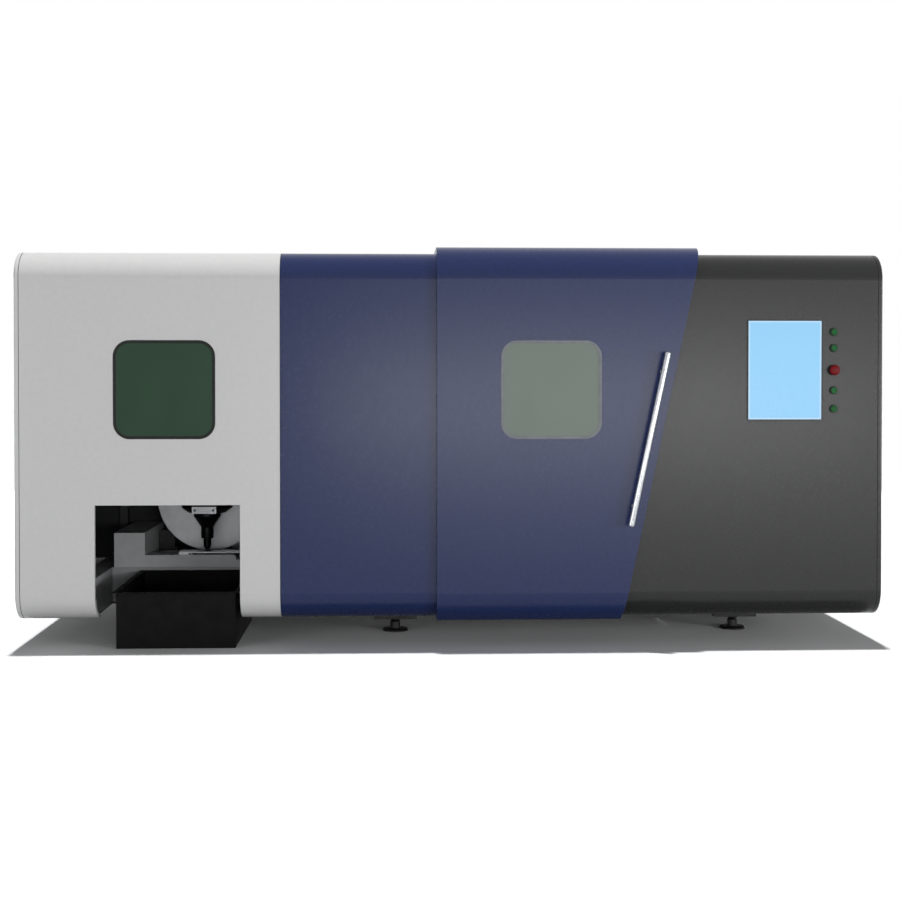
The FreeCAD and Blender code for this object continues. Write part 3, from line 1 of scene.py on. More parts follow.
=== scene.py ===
import math
import bmesh
import bpy
import numpy as np
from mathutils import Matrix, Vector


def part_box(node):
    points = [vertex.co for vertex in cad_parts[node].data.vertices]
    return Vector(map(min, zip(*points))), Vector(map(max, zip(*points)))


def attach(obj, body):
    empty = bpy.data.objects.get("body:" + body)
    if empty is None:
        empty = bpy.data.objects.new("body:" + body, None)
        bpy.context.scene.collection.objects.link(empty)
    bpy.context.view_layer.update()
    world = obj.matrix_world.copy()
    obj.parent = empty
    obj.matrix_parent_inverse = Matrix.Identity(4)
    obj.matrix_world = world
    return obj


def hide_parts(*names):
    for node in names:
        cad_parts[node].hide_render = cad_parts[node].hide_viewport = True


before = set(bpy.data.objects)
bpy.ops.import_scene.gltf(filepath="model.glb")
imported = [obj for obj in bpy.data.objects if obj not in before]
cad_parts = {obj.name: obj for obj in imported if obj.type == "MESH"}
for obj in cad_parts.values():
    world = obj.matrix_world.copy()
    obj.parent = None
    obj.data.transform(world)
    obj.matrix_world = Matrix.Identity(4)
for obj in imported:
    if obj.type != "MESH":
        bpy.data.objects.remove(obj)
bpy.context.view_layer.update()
print("stage: frame loaded,", len(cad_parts), "nodes")


# Colours and nodes

def linearColour(code):
    # An sRGB hex code turned linear: c / 12.92 up to 0.04045, above it ((c + 0.055) / 1.055) ** 2.4.
    value = np.array([int(code[start:start + 2], 16) for start in (1, 3, 5)]) / 255
    bright = ((value + 0.055) / 1.055) ** 2.4
    return (*np.where(value <= 0.04045, value / 12.92, bright).tolist(), 1.0)


def addNode(tree, kind, settings=None, links=None):
    # Settings starting with a capital or a number are socket values, the others the node's own properties.
    node = tree.nodes.new("ShaderNode" + kind)
    for key, value in (settings or {}).items():
        if isinstance(key, str) and key[0].islower():
            setattr(node, key, value)
    for key, value in (settings or {}).items():
        if not isinstance(key, str) or key[0].isupper():
            node.inputs[key].default_value = value
    for key, (source, output) in (links or {}).items():
        tree.links.new(source.outputs[output], node.inputs[key])
    return node


def newMaterial(name):
    material = bpy.data.materials.new(name)
    material.use_nodes = True
    material.node_tree.nodes.clear()
    return material, material.node_tree


def newFinish(name):
    material, tree = newMaterial(name)
    return material, tree, (addNode(tree, "TexCoord"), "Object")


def blendColour(tree, factor, first, second):
    # Mixes two colours by a factor; each is a hex code or a (node, output) pair.
    settings = {"data_type": "RGBA", "blend_type": "MIX"}
    links = {0: factor}
    for socket, value in ((6, first), (7, second)):
        if isinstance(value, str):
            settings[socket] = linearColour(value)
        else:
            links[socket] = value
    return addNode(tree, "Mix", settings, links), 2


def mapped(tree, source, lowIn, highIn, lowOut, highOut):
    # Carries a value from one range into another, easing into both ends.
    settings = {"interpolation_type": "SMOOTHSTEP", 1: lowIn, 2: highIn, 3: lowOut, 4: highOut}
    return addNode(tree, "MapRange", settings, {0: source}), 0


def noisePattern(tree, coordinates, millimetres, detail=2.0, roughness=0.5):
    # Soft noise whose blotches are about the given size across.
    return addNode(tree, "TexNoise", {"Scale": 1000 / millimetres, "Detail": detail, "Roughness": roughness},
                   {"Vector": coordinates}), 0


def stretched(tree, coordinates, x, y, z):
    # Object coordinates scaled per axis, for marks that run one way.
    return addNode(tree, "Mapping", {"Scale": (x, y, z)}, {"Vector": coordinates}), 0


def softEdges(tree, radius):
    # A normal rounded over the edges, the surface itself, and how well the two agree: 1 away from edges.
    soft = addNode(tree, "Bevel", {"samples": 4, "Radius": radius})
    geometry = addNode(tree, "NewGeometry")
    match = addNode(tree, "VectorMath", {"operation": "DOT_PRODUCT"},
                    {0: (soft, "Normal"), 1: (geometry, "True Normal")})
    return soft, geometry, (match, "Value")


def dustOnTop(tree, place, geometry, under, colour, grain, spread, level):
    # Dust covers by its specks times how nearly the surface faces up.
    up = addNode(tree, "SeparateXYZ", {}, {0: (geometry, "Normal")}), 2
    specks = mapped(tree, noisePattern(tree, place, *grain), *spread)
    facing = mapped(tree, up, level, 0.98, 0.0, 1.0)
    cover = addNode(tree, "Math", {"operation": "MULTIPLY"}, {0: specks, 1: facing}), 0
    return blendColour(tree, cover, under, colour)


def closeMaterial(material, settings, links, kind="BsdfPrincipled"):
    # Adds the shader, joins it to the output and hands the finished material back.
    tree = material.node_tree
    shader = addNode(tree, kind, settings, links)
    output = tree.nodes.new("ShaderNodeOutputMaterial")
    tree.links.new(shader.outputs[0], output.inputs["Surface"])
    return material


def closeBumped(material, colour, rough, height, strength, distance, settings, soft=None):
    # A bump from a height, over the rounded edges where they are given, and then the shader.
    links = {"Height": height, "Normal": (soft, "Normal")} if soft else {"Height": height}
    bump = addNode(material.node_tree, "Bump", {"Strength": strength, "Distance": distance}, links)
    return closeMaterial(material, settings, {"Base Color": colour, "Roughness": rough, "Normal": (bump, 0)})


# Finishes

coatSettings = {
    "light_coat": {"colour": "#cdcdcc", "deep": "#cacaca", "edge_wear_and_highlight": "#e4e5e6", "roughness": 0.28},
    "blue_coat": {"colour": "#1d2953", "deep": "#1c284f", "edge_wear_and_highlight": "#56648c", "roughness": 0.27},
    "dark_coat": {"colour": "#262626", "deep": "#242525", "edge_wear_and_highlight": "#646464", "roughness": 0.27},
}


def powderCoat(name, colour, deep, edge_wear_and_highlight, roughness, specular=0.25):
    # Polyester powder coat, sprayed and baked on folded sheet: a satin film with faint orange peel,
    # thin edges painted lighter, partly film drawn back there and partly a painted highlight, and a
    # little dust on what faces up. The faces that look into the machine are painted dark charcoal, a
    # painted shade for the dark inside of the enclosure.
    material, tree, place = newFinish(name)
    soft, geometry, match = softEdges(tree, 0.003)
    # Painted highlight, with some film drawn back: this edge mask blends the edges toward a lighter colour.
    edge = mapped(tree, match, 0.86, 0.995, 0.55, 0.0)
    # The film is a little thinner in places a few centimetres across.
    film = mapped(tree, noisePattern(tree, place, 25, 2), 0.2, 0.8, 0.0, 1.0)
    shaded = blendColour(tree, film, colour, deep)
    edged = blendColour(tree, edge, shaded, edge_wear_and_highlight)
    # Dust nibs of about 1 mm caught in the film, drawn at 4 mm and sparse.
    nibs = mapped(tree, noisePattern(tree, place, 4, 0), 0.84, 0.92, 0.0, 0.15)
    nibbed = blendColour(tree, nibs, edged, edge_wear_and_highlight)
    dusted = dustOnTop(tree, place, geometry, nibbed, "#8d8a84", (12, 3, 0.7), (0.35, 0.75, 0.02, 0.09), 0.75)
    # Inner faces look toward the machine's middle, so their normal runs against the way out.
    outward = addNode(tree, "Mapping", {"Location": (0, 0, -1.1), "Scale": (0.2, 1, 1)}, {"Vector": place})
    along = addNode(tree, "VectorMath", {"operation": "DOT_PRODUCT"},
                    {0: (geometry, "Normal"), 1: (outward, 0)})
    inner = mapped(tree, (along, "Value"), -0.42, -0.40, 1.0, 0.0)
    # Painted shade: the faces that look inward are coloured dark charcoal for the dark inside of the
    # enclosure, and made matt.
    inside_painted_shade = blendColour(tree, inner, dusted, "#2b2c2e")
    matt = mapped(tree, noisePattern(tree, place, 18, 2), 0.2, 0.8, roughness - 0.006, roughness + 0.008)
    inside_roughness = addNode(tree, "Mix", {"data_type": "FLOAT", 3: 0.7}, {0: inner, 2: matt}), 0
    # Real orange peel is 1 to 2 mm across; drawn at 5 mm so that it shows in a view of the whole machine.
    peel = noisePattern(tree, place, 5, 2)
    settings = {"IOR": 1.5, "Specular IOR Level": specular}
    return closeBumped(material, inside_painted_shade, inside_roughness, peel, 0.02, 0.0006, settings, soft)


enamelSettings = {
    "frame_enamel": {"colour": "#bcbec0", "stain": "#a9abad", "edge_wear_and_highlight": "#d0d2d4", "roughness": 0.5,
        "specular": 0.3, "grain": 9, "hoop_painted_shade": "#2d2e30"},
    "bed_enamel": {"colour": "#dcdee0", "stain": "#cbcdce", "edge_wear_and_highlight": "#eceef0", "roughness": 0.42,
        "specular": 0.3, "grain": 14},
    "bin_enamel": {"colour": "#080809", "stain": "#060606", "edge_wear_and_highlight": "#1e1e1f", "roughness": 0.6,
        "specular": 0.07, "grain": 6},
    "source_enamel": {"colour": "#3c3e42", "stain": "#2f3134", "edge_wear_and_highlight": "#6d6f73", "roughness": 0.4,
        "specular": 0.5, "grain": 4},
}


def machineEnamel(name, colour, stain, edge_wear_and_highlight, roughness, specular, grain, hoop_painted_shade=None):
    # Two-part enamel rolled or sprayed on welded and cast parts: semi-gloss, slightly uneven, with
    # clouds of stain and rubbed edges where the metal nearly shows. On the frame, shade is painted low
    # down and on the hoops.
    material, tree, place = newFinish(name)
    soft, geometry, match = softEdges(tree, 0.004)
    ragged = noisePattern(tree, place, 25, 5, 0.7)
    edge = mapped(tree, match, 0.85, 0.99, 1.0, 0.0)
    broken = mapped(tree, ragged, 0.42, 0.6, 0.0, 0.7)
    rubbed = addNode(tree, "Math", {"operation": "MULTIPLY"}, {0: edge, 1: broken}), 0
    cloud = mapped(tree, noisePattern(tree, place, 180, 5, 0.6), 0.35, 0.7, 0.0, 0.8)
    shaded = blendColour(tree, cloud, colour, stain)
    edged = blendColour(tree, rubbed, shaded, edge_wear_and_highlight)
    coated = dustOnTop(tree, place, geometry, edged, "#77736c", (30, 8, 0.75), (0.45, 0.72, 0.0, 0.45), 0.7)
    if hoop_painted_shade:
        # Painted shade: below 115 mm, its foot brackets and undersides, the frame is painted near black for
        # the shade under the machine; above 320 mm its bent hoops are painted charcoal for the shade inside
        # it.
        height = addNode(tree, "SeparateXYZ", {}, {0: place}), 2
        low_painted_shade = blendColour(tree, mapped(tree, height, 0.104, 0.118, 1.0, 0.0), coated, "#151616")
        coated = blendColour(tree, mapped(tree, height, 0.318, 0.324, 0.0, 1.0), low_painted_shade, hoop_painted_shade)
    matt = mapped(tree, noisePattern(tree, place, 70, 4, 0.6), 0.3, 0.7, roughness - 0.08, roughness + 0.1)
    skin = noisePattern(tree, place, grain, 3, 0.6)
    settings = {"IOR": 1.52, "Specular IOR Level": specular}
    return closeBumped(material, coated, matt, skin, 0.25, 0.0008, settings, soft)


metalSettings = {
    "oxide_steel": {"colour": "#161616", "shade": "#262524", "metallic": 0.6, "roughness": 0.45,
        "pitch": 12, "strength": 0.15},
    "zinc_steel": {"colour": "#9a9da3", "shade": "#7d7f80", "roughness": 0.32,
        "pitch": 8, "strength": 0.08},
    "ground_steel": {"colour": "#a6a8aa", "shade": "#8f9193", "roughness": 0.26,
        "lines": (0.05, 1, 1), "pitch": 2.5, "strength": 0.12},
    "stainless_tube": {"colour": "#a8aaae", "shade": "#9c9ea2", "roughness": 0.24,
        "lines": (1, 1, 0.04), "pitch": 2.5, "strength": 0.06},
    "turned_aluminium": {"colour": "#b2b4b6", "shade": "#a5a7a9", "roughness": 0.46,
        "lines": (1, 0.05, 1), "pitch": 3, "strength": 0.12},
    "black_anodising": {"colour": "#101113", "shade": "#1b1c1f", "metallic": 0.7, "roughness": 0.36,
        "lines": (1, 1, 0.1), "pitch": 3, "strength": 0.1},
    "cast_enamel": {"colour": "#54565a", "shade": "#45474a", "metallic": 0.1, "roughness": 0.5,
        "pitch": 5, "strength": 0.5},
}


def workedMetal(name, colour, shade, roughness, pitch, strength, metallic=1.0, lines=(1, 1, 1)):
    # Machined, plated or blacked metal: fine tool or polishing lines along one axis, a slow drift of
    # tone from handling and oil, and sharp edges broken by a small chamfer that catches the light.
    material, tree, place = newFinish(name)
    soft = addNode(tree, "Bevel", {"samples": 4, "Radius": 0.0015})
    drift = mapped(tree, noisePattern(tree, place, 130, 4, 0.6), 0.35, 0.7, 0.0, 1.0)
    tone = blendColour(tree, drift, colour, shade)
    # Tool lines are 0.1 to 0.3 mm apart; drawn at a few millimetres so that they show.
    marks = noisePattern(tree, stretched(tree, place, *lines), pitch, 3, 0.6)
    matt = mapped(tree, marks, 0.25, 0.75, roughness - 0.07, roughness + 0.09)
    return closeBumped(material, tone, matt, marks, strength, 0.0004, {"Metallic": metallic}, soft)


def galvanisedSheet(name):
    # Hot-dip galvanised sheet: pale zinc with overlapping crystal spangle, each patch a little different.
    material, tree, place = newFinish(name)
    soft = addNode(tree, "Bevel", {"samples": 4, "Radius": 0.0015})
    spangle = addNode(tree, "TexVoronoi", {"Scale": 1000 / 14}, {"Vector": place})
    shade = addNode(tree, "SeparateXYZ", {}, {0: (spangle, "Color")}), 0
    tone = blendColour(tree, shade, "#8b8f93", "#a9adb1")
    matt = mapped(tree, shade, 0.0, 1.0, 0.34, 0.5)
    return closeBumped(material, tone, matt, shade, 0.08, 0.0003, {"Metallic": 0.9}, soft)


rubberSkin = {"grain": 2.5, "strength": 0.25, "specular": 0.3}
grainedSkin = {"roughness": 0.5, "grain": 1.6, "strength": 0.3}
smoothSkin = {"roughness": 0.42, "grain": 3, "strength": 0.05, "specular": 0.12}
plasticSettings = {
    "seal_rubber": {"colour": "#0b0e0c", "shade": "#111412", "roughness": 0.68, **rubberSkin},
    "grey_rubber": {"colour": "#7e8286", "shade": "#74787c", "roughness": 0.6, **rubberSkin},
    "black_plastic": {"colour": "#131415", "shade": "#1c1d1e", "specular": 0.3, **grainedSkin},
    "green_plastic": {"colour": "#105a28", "shade": "#0d4c21", **smoothSkin},
    "red_plastic": {"colour": "#740c14", "shade": "#620a10", **smoothSkin},
    "module_plastic": {"colour": "#3a3d42", "shade": "#2f3236", "specular": 0.4, **grainedSkin},
}


def mouldedPlastic(name, colour, shade, roughness, grain, strength, specular):
    # Injection-moulded plastic or extruded rubber: even colour with a slight drift, and the fine skin of a
    # spark-eroded mould.
    material, tree, place = newFinish(name)
    drift = mapped(tree, noisePattern(tree, place, 50, 3), 0.35, 0.7, 0.0, 1.0)
    tone = blendColour(tree, drift, colour, shade)
    skin = noisePattern(tree, place, grain, 2)
    matt = mapped(tree, noisePattern(tree, place, 20, 3), 0.3, 0.7, roughness - 0.05, roughness + 0.06)
    settings = {"IOR": 1.49, "Specular IOR Level": specular}
    return closeBumped(material, tone, matt, skin, strength, 0.0003, settings)


glassSettings = {"left_pane": {"colour": "#2a4732", "body": "#253f2e"},
                 "door_pane": {"colour": "#78827a", "body": "#727c74"}}


def safetyPane(name, colour, body, through=0.08, roughness=0.3, specular=0.15):
    # Cast laser-safety acrylic, dyed through: a deep tint that lets little light pass, a hard satin
    # face with faint smears, and slow waves from casting.
    material, tree, place = newFinish(name)
    smear = noisePattern(tree, stretched(tree, place, 1, 1, 0.35), 120, 5, 0.65)
    matt = mapped(tree, smear, 0.4, 0.75, roughness, roughness + 0.08)
    tone = blendColour(tree, mapped(tree, smear, 0.3, 0.8, 0.0, 0.35), body, colour)
    wave = noisePattern(tree, place, 160, 1)
    settings = {"IOR": 1.49, "Specular IOR Level": specular, "Transmission Weight": through}
    return closeBumped(material, tone, matt, wave, 0.05, 0.001, settings)


screenSettings = {"middle": (1.7317, 1.4394), "half": (0.192, 0.257), "border": 0.009,
                  "glow": "#94d0f8", "rim": "#b9defa"}


def litScreen(name, middle, half, border, glow, rim):
    # Toughened display glass over a backlit panel: an even pale blue glow, a touch paler along its
    # rim, and finger smears that show only in the gloss.
    material, tree, place = newFinish(name)
    parts = addNode(tree, "SeparateXYZ", {}, {0: place})
    gaps = []
    for axis, centre, reach in ((0, middle[0], half[0]), (2, middle[1], half[1])):
        offset = addNode(tree, "Math", {"operation": "SUBTRACT", 1: centre}, {0: (parts, axis)})
        size = addNode(tree, "Math", {"operation": "ABSOLUTE"}, {0: (offset, 0)})
        gaps.append(mapped(tree, (size, 0), reach - border, reach - border + 0.001, 0.0, 1.0))
    frameMask = addNode(tree, "Math", {"operation": "MAXIMUM"}, {0: gaps[0], 1: gaps[1]}), 0
    drift = mapped(tree, noisePattern(tree, place, 300, 1), 0.3, 0.7, 0.0, 0.25)
    inner = blendColour(tree, drift, glow, "#9ad3f8")
    lit = blendColour(tree, frameMask, inner, rim)
    smear = mapped(tree, noisePattern(tree, place, 35, 6, 0.7), 0.45, 0.75, 0.26, 0.32)
    settings = {"Base Color": linearColour("#08090a"), "IOR": 1.5, "Specular IOR Level": 0.15,
                "Emission Strength": 0.97}
    return closeMaterial(material, settings, {"Emission Color": lit, "Roughness": smear})


metalSlots = {
    "black_steel": "oxide_steel", "zinc_steel": "zinc_steel", "ground_steel": "ground_steel",
    "handle_chrome": "stainless_tube", "turned_aluminium": "turned_aluminium",
    "black_anodised": "black_anodising", "cast_metal": "cast_enamel"}
finishes = {}
for tint in ("light", "blue", "dark"):
    finishes[f"{tint}_paint"] = powderCoat(f"{tint}_coat", **coatSettings[f"{tint}_coat"])
for part in ("frame", "bed", "bin", "source"):
    finishes[f"{part}_paint"] = machineEnamel(f"{part}_enamel", **enamelSettings[f"{part}_enamel"])
for slotName, key in metalSlots.items():
    finishes[slotName] = workedMetal(key, **metalSettings[key])
for key, settings in plasticSettings.items():
    finishes[key] = mouldedPlastic(key, **settings)
for side in ("left", "door"):
    finishes[f"{side}_glass"] = safetyPane(f"{side}_pane", **glassSettings[f"{side}_pane"])
finishes["screen_glass"] = litScreen("display_glass", **screenSettings)
finishes["galvanised"] = galvanisedSheet("galvanised_sheet")

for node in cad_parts.values():
    for materialSlot in node.material_slots:
        materialSlot.material = finishes[materialSlot.material.name.split(".")[0]]
print("stage: finishes assigned")


# Surfaces from numpy grids

def joinGrids(grids):
    # Each grid is (rows, columns, 3); neighbours in both directions make a four-sided face.
    points = []
    faces = []
    start = 0
    for grid in grids:
        rows, columns = grid.shape[:2]
        index = np.arange(rows * columns).reshape(rows, columns) + start
        quads = np.stack([index[:-1, :-1], index[1:, :-1], index[1:, 1:], index[:-1, 1:]], -1)
        points.append(grid.reshape(-1, 3))
        faces.append(quads.reshape(-1, 4))
        start += rows * columns
    return np.concatenate(points), np.concatenate(faces)


def addObject(name, data):
    made = bpy.data.objects.new(name, data)
    bpy.context.scene.collection.objects.link(made)
    return made


def makePiece(name, grids, slotName, body, replaced=(), sharp=35):
    # Fills a mesh from grids, merges seams and poles, turns the faces outward and hangs it on its body.
    points, faces = joinGrids(grids)
    mesh = bpy.data.meshes.new(name)
    mesh.from_pydata(points.tolist(), [], faces.tolist())
    edit = bmesh.new()
    edit.from_mesh(mesh)
    bmesh.ops.remove_doubles(edit, verts=edit.verts, dist=2e-6)
    bmesh.ops.dissolve_degenerate(edit, edges=edit.edges, dist=1e-6)
    bmesh.ops.recalc_face_normals(edit, faces=edit.faces)
    edit.to_mesh(mesh)
    edit.free()
    mesh.polygons.foreach_set("use_smooth", [True] * len(mesh.polygons))
    mesh.set_sharp_from_angle(angle=math.radians(sharp))
    mesh.materials.append(finishes[slotName])
    piece = addObject(name, mesh)
    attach(piece, body)
    if replaced:
        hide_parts(*replaced)


def sideAxes(axis):
    # Two unit vectors square to an axis and to each other.
    axis = np.asarray(axis, float) / np.linalg.norm(axis)
    helper = np.array([0, 0, 1.0]) if abs(axis[2]) < 0.9 else np.array([1.0, 0, 0])
    first = np.cross(helper, axis)
    first /= np.linalg.norm(first)
    return axis, first, np.cross(axis, first)


def roundCorners(points, radius, steps=4):
    # Replaces each inner corner of a line by a curve from one side to the other: a quadratic blend of the
    # points a radius before and after the corner, kept within 45 percent of each side.
    points = np.asarray(points, float)
    radii = np.broadcast_to(radius, len(points))
    line = [points[:1]]
    for index in range(1, len(points) - 1):
        before, corner, after = points[index - 1:index + 2]
        sides = np.linalg.norm(before - corner), np.linalg.norm(after - corner)
        reach = min(radii[index], 0.45 * sides[0], 0.45 * sides[1])
        if reach < 1e-6:
            line.append(corner[None])
            continue
        entry = corner + (before - corner) / sides[0] * reach
        leave = corner + (after - corner) / sides[1] * reach
        t = np.linspace(0, 1, steps + 1)[:, None]
        line.append((1 - t) ** 2 * entry + 2 * t * (1 - t) * corner + t ** 2 * leave)
    line.append(points[-1:])
    return np.concatenate(line)


def ringAround(angle, first, second):
    # Unit vectors round an axis: cos a * first + sin a * second.
    return np.cos(angle)[:, None] * first + np.sin(angle)[:, None] * second


def lathe(profile, centre, axis, segments=48):
    # Profile (radius, height) carried round an axis: centre + height * axis + radius * ring of unit vectors.
    axis, first, second = sideAxes(axis)
    profile = np.asarray(profile, float)
    ring = ringAround(np.linspace(0, 2 * math.pi, segments + 1), first, second)
    return np.asarray(centre, float) + profile[:, 1, None, None] * axis + profile[:, 0, None, None] * ring


def hexRadius(angle, flat):
    # Distance from the middle of a hexagon to its side: half the width across flats over cos of the angle
    # from the middle of the nearest side.
    return flat / np.cos((angle + math.pi / 6) % (math.pi / 3) - math.pi / 6)


def capScrew(centre, axis, head, tall):
    # Cap screw with a hexagon socket: rings of radius against height, twelve points round, the socket's
    # two rings hexagonal, both ends closed.
    axis, first, second = sideAxes(axis)
    angle = np.linspace(0, 2 * math.pi, 13)
    whole = np.ones(13)
    socket = hexRadius(angle, head * 0.45)
    rings = [(whole * 0, -0.0004), (head * whole, -0.0004), (head * whole, tall * 0.72),
             (head * 0.85 * whole, tall), (socket, tall), (socket, tall * 0.3), (whole * 0, tall * 0.25)]
    radius = np.array([ring for ring, level in rings])
    level = np.array([level for ring, level in rings])
    across = ringAround(angle, first, second)
    return np.asarray(centre, float) + level[:, None, None] * axis + radius[:, :, None] * across


def capScrews(name, places, axis, head, tall, slotName, body):
    makePiece(name, [capScrew(place, axis, head, tall) for place in places], slotName, body)


def gridPlaces(xs, ys, zs):
    # Every combination of the given coordinates, one row each.
    return np.stack(np.meshgrid(xs, ys, zs), -1).reshape(-1, 3)


def weldBead(start, end, radius, pitch=0.006, segments=10):
    # Round bead laid along a line: its radius swells and falls by a tenth as a sine of the way along.
    start, end = np.asarray(start, float), np.asarray(end, float)
    axis, first, second = sideAxes(end - start)
    long = np.linalg.norm(end - start)
    along = np.linspace(0, long, max(4, int(long / pitch * 4)))
    swell = radius * (1 + 0.1 * np.sin(2 * math.pi * along / pitch))
    swell[[0, -1]] = 0
    ring = ringAround(np.linspace(0, 2 * math.pi, segments + 1), first, second)
    return start + along[:, None, None] * axis + swell[:, None, None] * ring


def knurledRing(centre, axis, radius, low, high, teeth, deep):
    # Band round an axis whose radius dips between teeth as a squared cosine, with plain chamfered rims.
    axis, first, second = sideAxes(axis)
    angle = np.linspace(0, 2 * math.pi, teeth * 6 + 1)
    dip = deep * np.cos(angle * teeth / 2) ** 2
    level = np.array([low, low, low + deep, high - deep, high, high])
    reach = np.array([radius - 3 * deep, radius - deep, radius, radius, radius - deep, radius - 3 * deep])
    share = np.array([0, 0, 1, 1, 0, 0])
    radii = reach[:, None] - share[:, None] * dip[None, :]
    ring = ringAround(angle, first, second)
    return np.asarray(centre, float) + level[:, None, None] * axis + radii[:, :, None] * ring


def loopOf(wide, high, radius, steps=12):
    # Closed outline of a rounded rectangle about zero: four quarter circles joined by straight sides.
    angle = np.linspace(0, math.pi / 2, steps + 1)
    line = []
    for quarter, (x, z) in enumerate(((1, 1), (-1, 1), (-1, -1), (1, -1))):
        turn = angle + quarter * math.pi / 2
        line.append(np.stack([x * (wide / 2 - radius) + radius * np.cos(turn),
                              z * (high / 2 - radius) + radius * np.sin(turn)], -1))
    line = np.concatenate(line)
    return np.concatenate([line, line[:1]])


def carry(section, path, normals, across):
    # A section (a, b) carried along a path: path point + a * normal + b * across, for every section point.
    return path[:, None] + section[None, :, 0, None] * normals[:, None] + section[None, :, 1, None] * across


def softBlock(low, high, radius, steps=3):
    # Box with rounded edges: each corner's sphere patch pushed out to its corner, rows by height and
    # columns round the axis, with flat ends.
    low, high = np.asarray(low, float), np.asarray(high, float)
    middle, half = (low + high) / 2, (high - low) / 2 - radius
    quarter = np.linspace(0, math.pi / 2, steps + 1)
    turn = np.concatenate([quarter + k * math.pi / 2 for k in range(4)] + [[2 * math.pi]])
    signX = np.repeat([1, -1, -1, 1, 1], [steps + 1] * 4 + [1])
    signY = np.repeat([1, 1, -1, -1, 1], [steps + 1] * 4 + [1])
    rise = np.concatenate([quarter - math.pi / 2, quarter])
    signZ = np.repeat([-1, 1], steps + 1)
    grid = np.stack([
        signX * half[0] + radius * np.cos(rise)[:, None] * np.cos(turn),
        signY * half[1] + radius * np.cos(rise)[:, None] * np.sin(turn),
        (signZ * half[2] + radius * np.sin(rise))[:, None] + 0 * turn], -1)
    ends = []
    for side in (-1, 1):
        corners = np.array([[[-1, -1, 0], [1, -1, 0]], [[-1, 1, 0], [1, 1, 0]]]) * half
        corners[..., 2] = side * (half[2] + radius)
        ends.append(corners + middle)
    return [grid + middle, *ends]


def spanBlock(x, y, z, radius):
    # The same box from three (low, high) pairs.
    return softBlock(*zip(x, y, z), radius)


# Door handle: a polished tube with domed ends on two turned standoffs

handleSettings = {"centre": (1.008, -0.887, 1.083), "lean": 11.9, "long": 0.919, "radius": 0.017,
                  "span": 0.710, "reach": 0.052, "foot": 0.012, "face": -0.835}


def doorHandle(centre, lean, long, radius, span, reach, foot, face):
    axis = np.array([math.sin(math.radians(lean)), 0, math.cos(math.radians(lean))])
    half = long / 2
    profile = roundCorners([(0, -half), (radius, -half), (radius, half), (0, half)], radius * 0.45, 6)
    bar = lathe(profile, centre, axis, 64)
    makePiece("handle_bar", [bar], "handle_chrome", "sliding_door", ["door_handle"])
    turned = roundCorners([(0, 0), (foot, 0), (foot, 0.003), (foot * 0.7, 0.006), (foot * 0.55, 0.012),
                           (foot * 0.55, reach - radius * 0.8), (0, reach - radius * 0.8)], 0.0015, 3)
    posts = []
    for side in (-1, 1):
        seat = np.array(centre) + side * span / 2 * axis
        seat[1] = face
        posts.append(lathe(turned, seat, (0, -1, 0), 40))
    makePiece("handle_posts", posts, "handle_chrome", "sliding_door", ["handle_standoffs"])


doorHandle(**handleSettings)


# Operator controls

buttonSettings = {"x": 1.989, "face": -0.8, "cap": 0.016, "collar": 0.022,
                  "heights": {"start": 1.639, "pause": 1.555, "reset": 1.334, "light": 1.238}, "stop": 1.440}


def operatorButtons(x, face, cap, collar, heights, stop):
    outward = (0, -1, 0)
    profile = roundCorners([
        (0, -0.02), (0.006, -0.02), (0.006, 0.005), (cap, 0.005), (cap, 0.0140), (cap * 0.8, 0.0140),
        (cap * 0.45, 0.0132), (0, 0.0130)], [0, 0, 0, 0.0006, 0.0022, 0.002, 0.003, 0], 4)
    for name, height in heights.items():
        button = lathe(profile, (x, face, height), outward, 56)
        makePiece(f"{name}_cap", [button], "green_plastic", name, [f"{name}_button"])
    profile = roundCorners([
        (0.0065, 0.001), (0.0065, -0.03), (0.0117, -0.03), (0.0117, 0.0), (collar, 0.0), (collar, 0.0065),
        (collar - 0.0022, 0.0080), (cap + 0.0006, 0.0080), (cap + 0.0006, 0.001), (0.0065, 0.001)],
        [0, 0.0004, 0.0004, 0, 0, 0.001, 0.001, 0.0006, 0, 0], 3)
    rings = [lathe(profile, (x, face, height), outward, 56) for height in (*heights.values(), stop)]
    makePiece("control_collars", rings, "black_plastic", "machine", ["button_collars"])
    angle = np.linspace(0, 2 * math.pi, 161)
    profile = roundCorners([
        (0, 0.0121), (0.012, 0.0121), (0.012, 0.015), (0.0235, 0.015), (0.028, 0.0195), (0.028, 0.0260),
        (0.0235, 0.0320), (0.014, 0.0352), (0, 0.0360)],
        [0, 0, 0.001, 0.002, 0.003, 0.003, 0.005, 0.006, 0], 5)
    dome = lathe(profile, (x, face, stop), outward, 160)
    # Grip flutes round the rim: the radius dips by 0.9 mm as a cosine, only where it is widest. There are
    # 20 of them, so the 45 degree twist moves them by two and a half and can be seen.
    rim = np.clip((profile[:, 0] - 0.0262) / 0.0018, 0, 1)[:, None]
    dip = 0.0009 * rim * (0.5 + 0.5 * np.cos(20 * angle))[None, :]
    spoke = ringAround(angle, *sideAxes(outward)[1:])
    makePiece("stop_cap", [dome - dip[:, :, None] * spoke], "red_plastic", "stop_head", ["stop_mushroom"])


operatorButtons(**buttonSettings)


# Window seals: a rubber profile carried round each opening

sealSettings = {"wide": 0.522, "high": 0.509, "radius": 0.085, "height": 1.3385, "lip": 0.016, "proud": 0.003,
                "inside": 0.010}


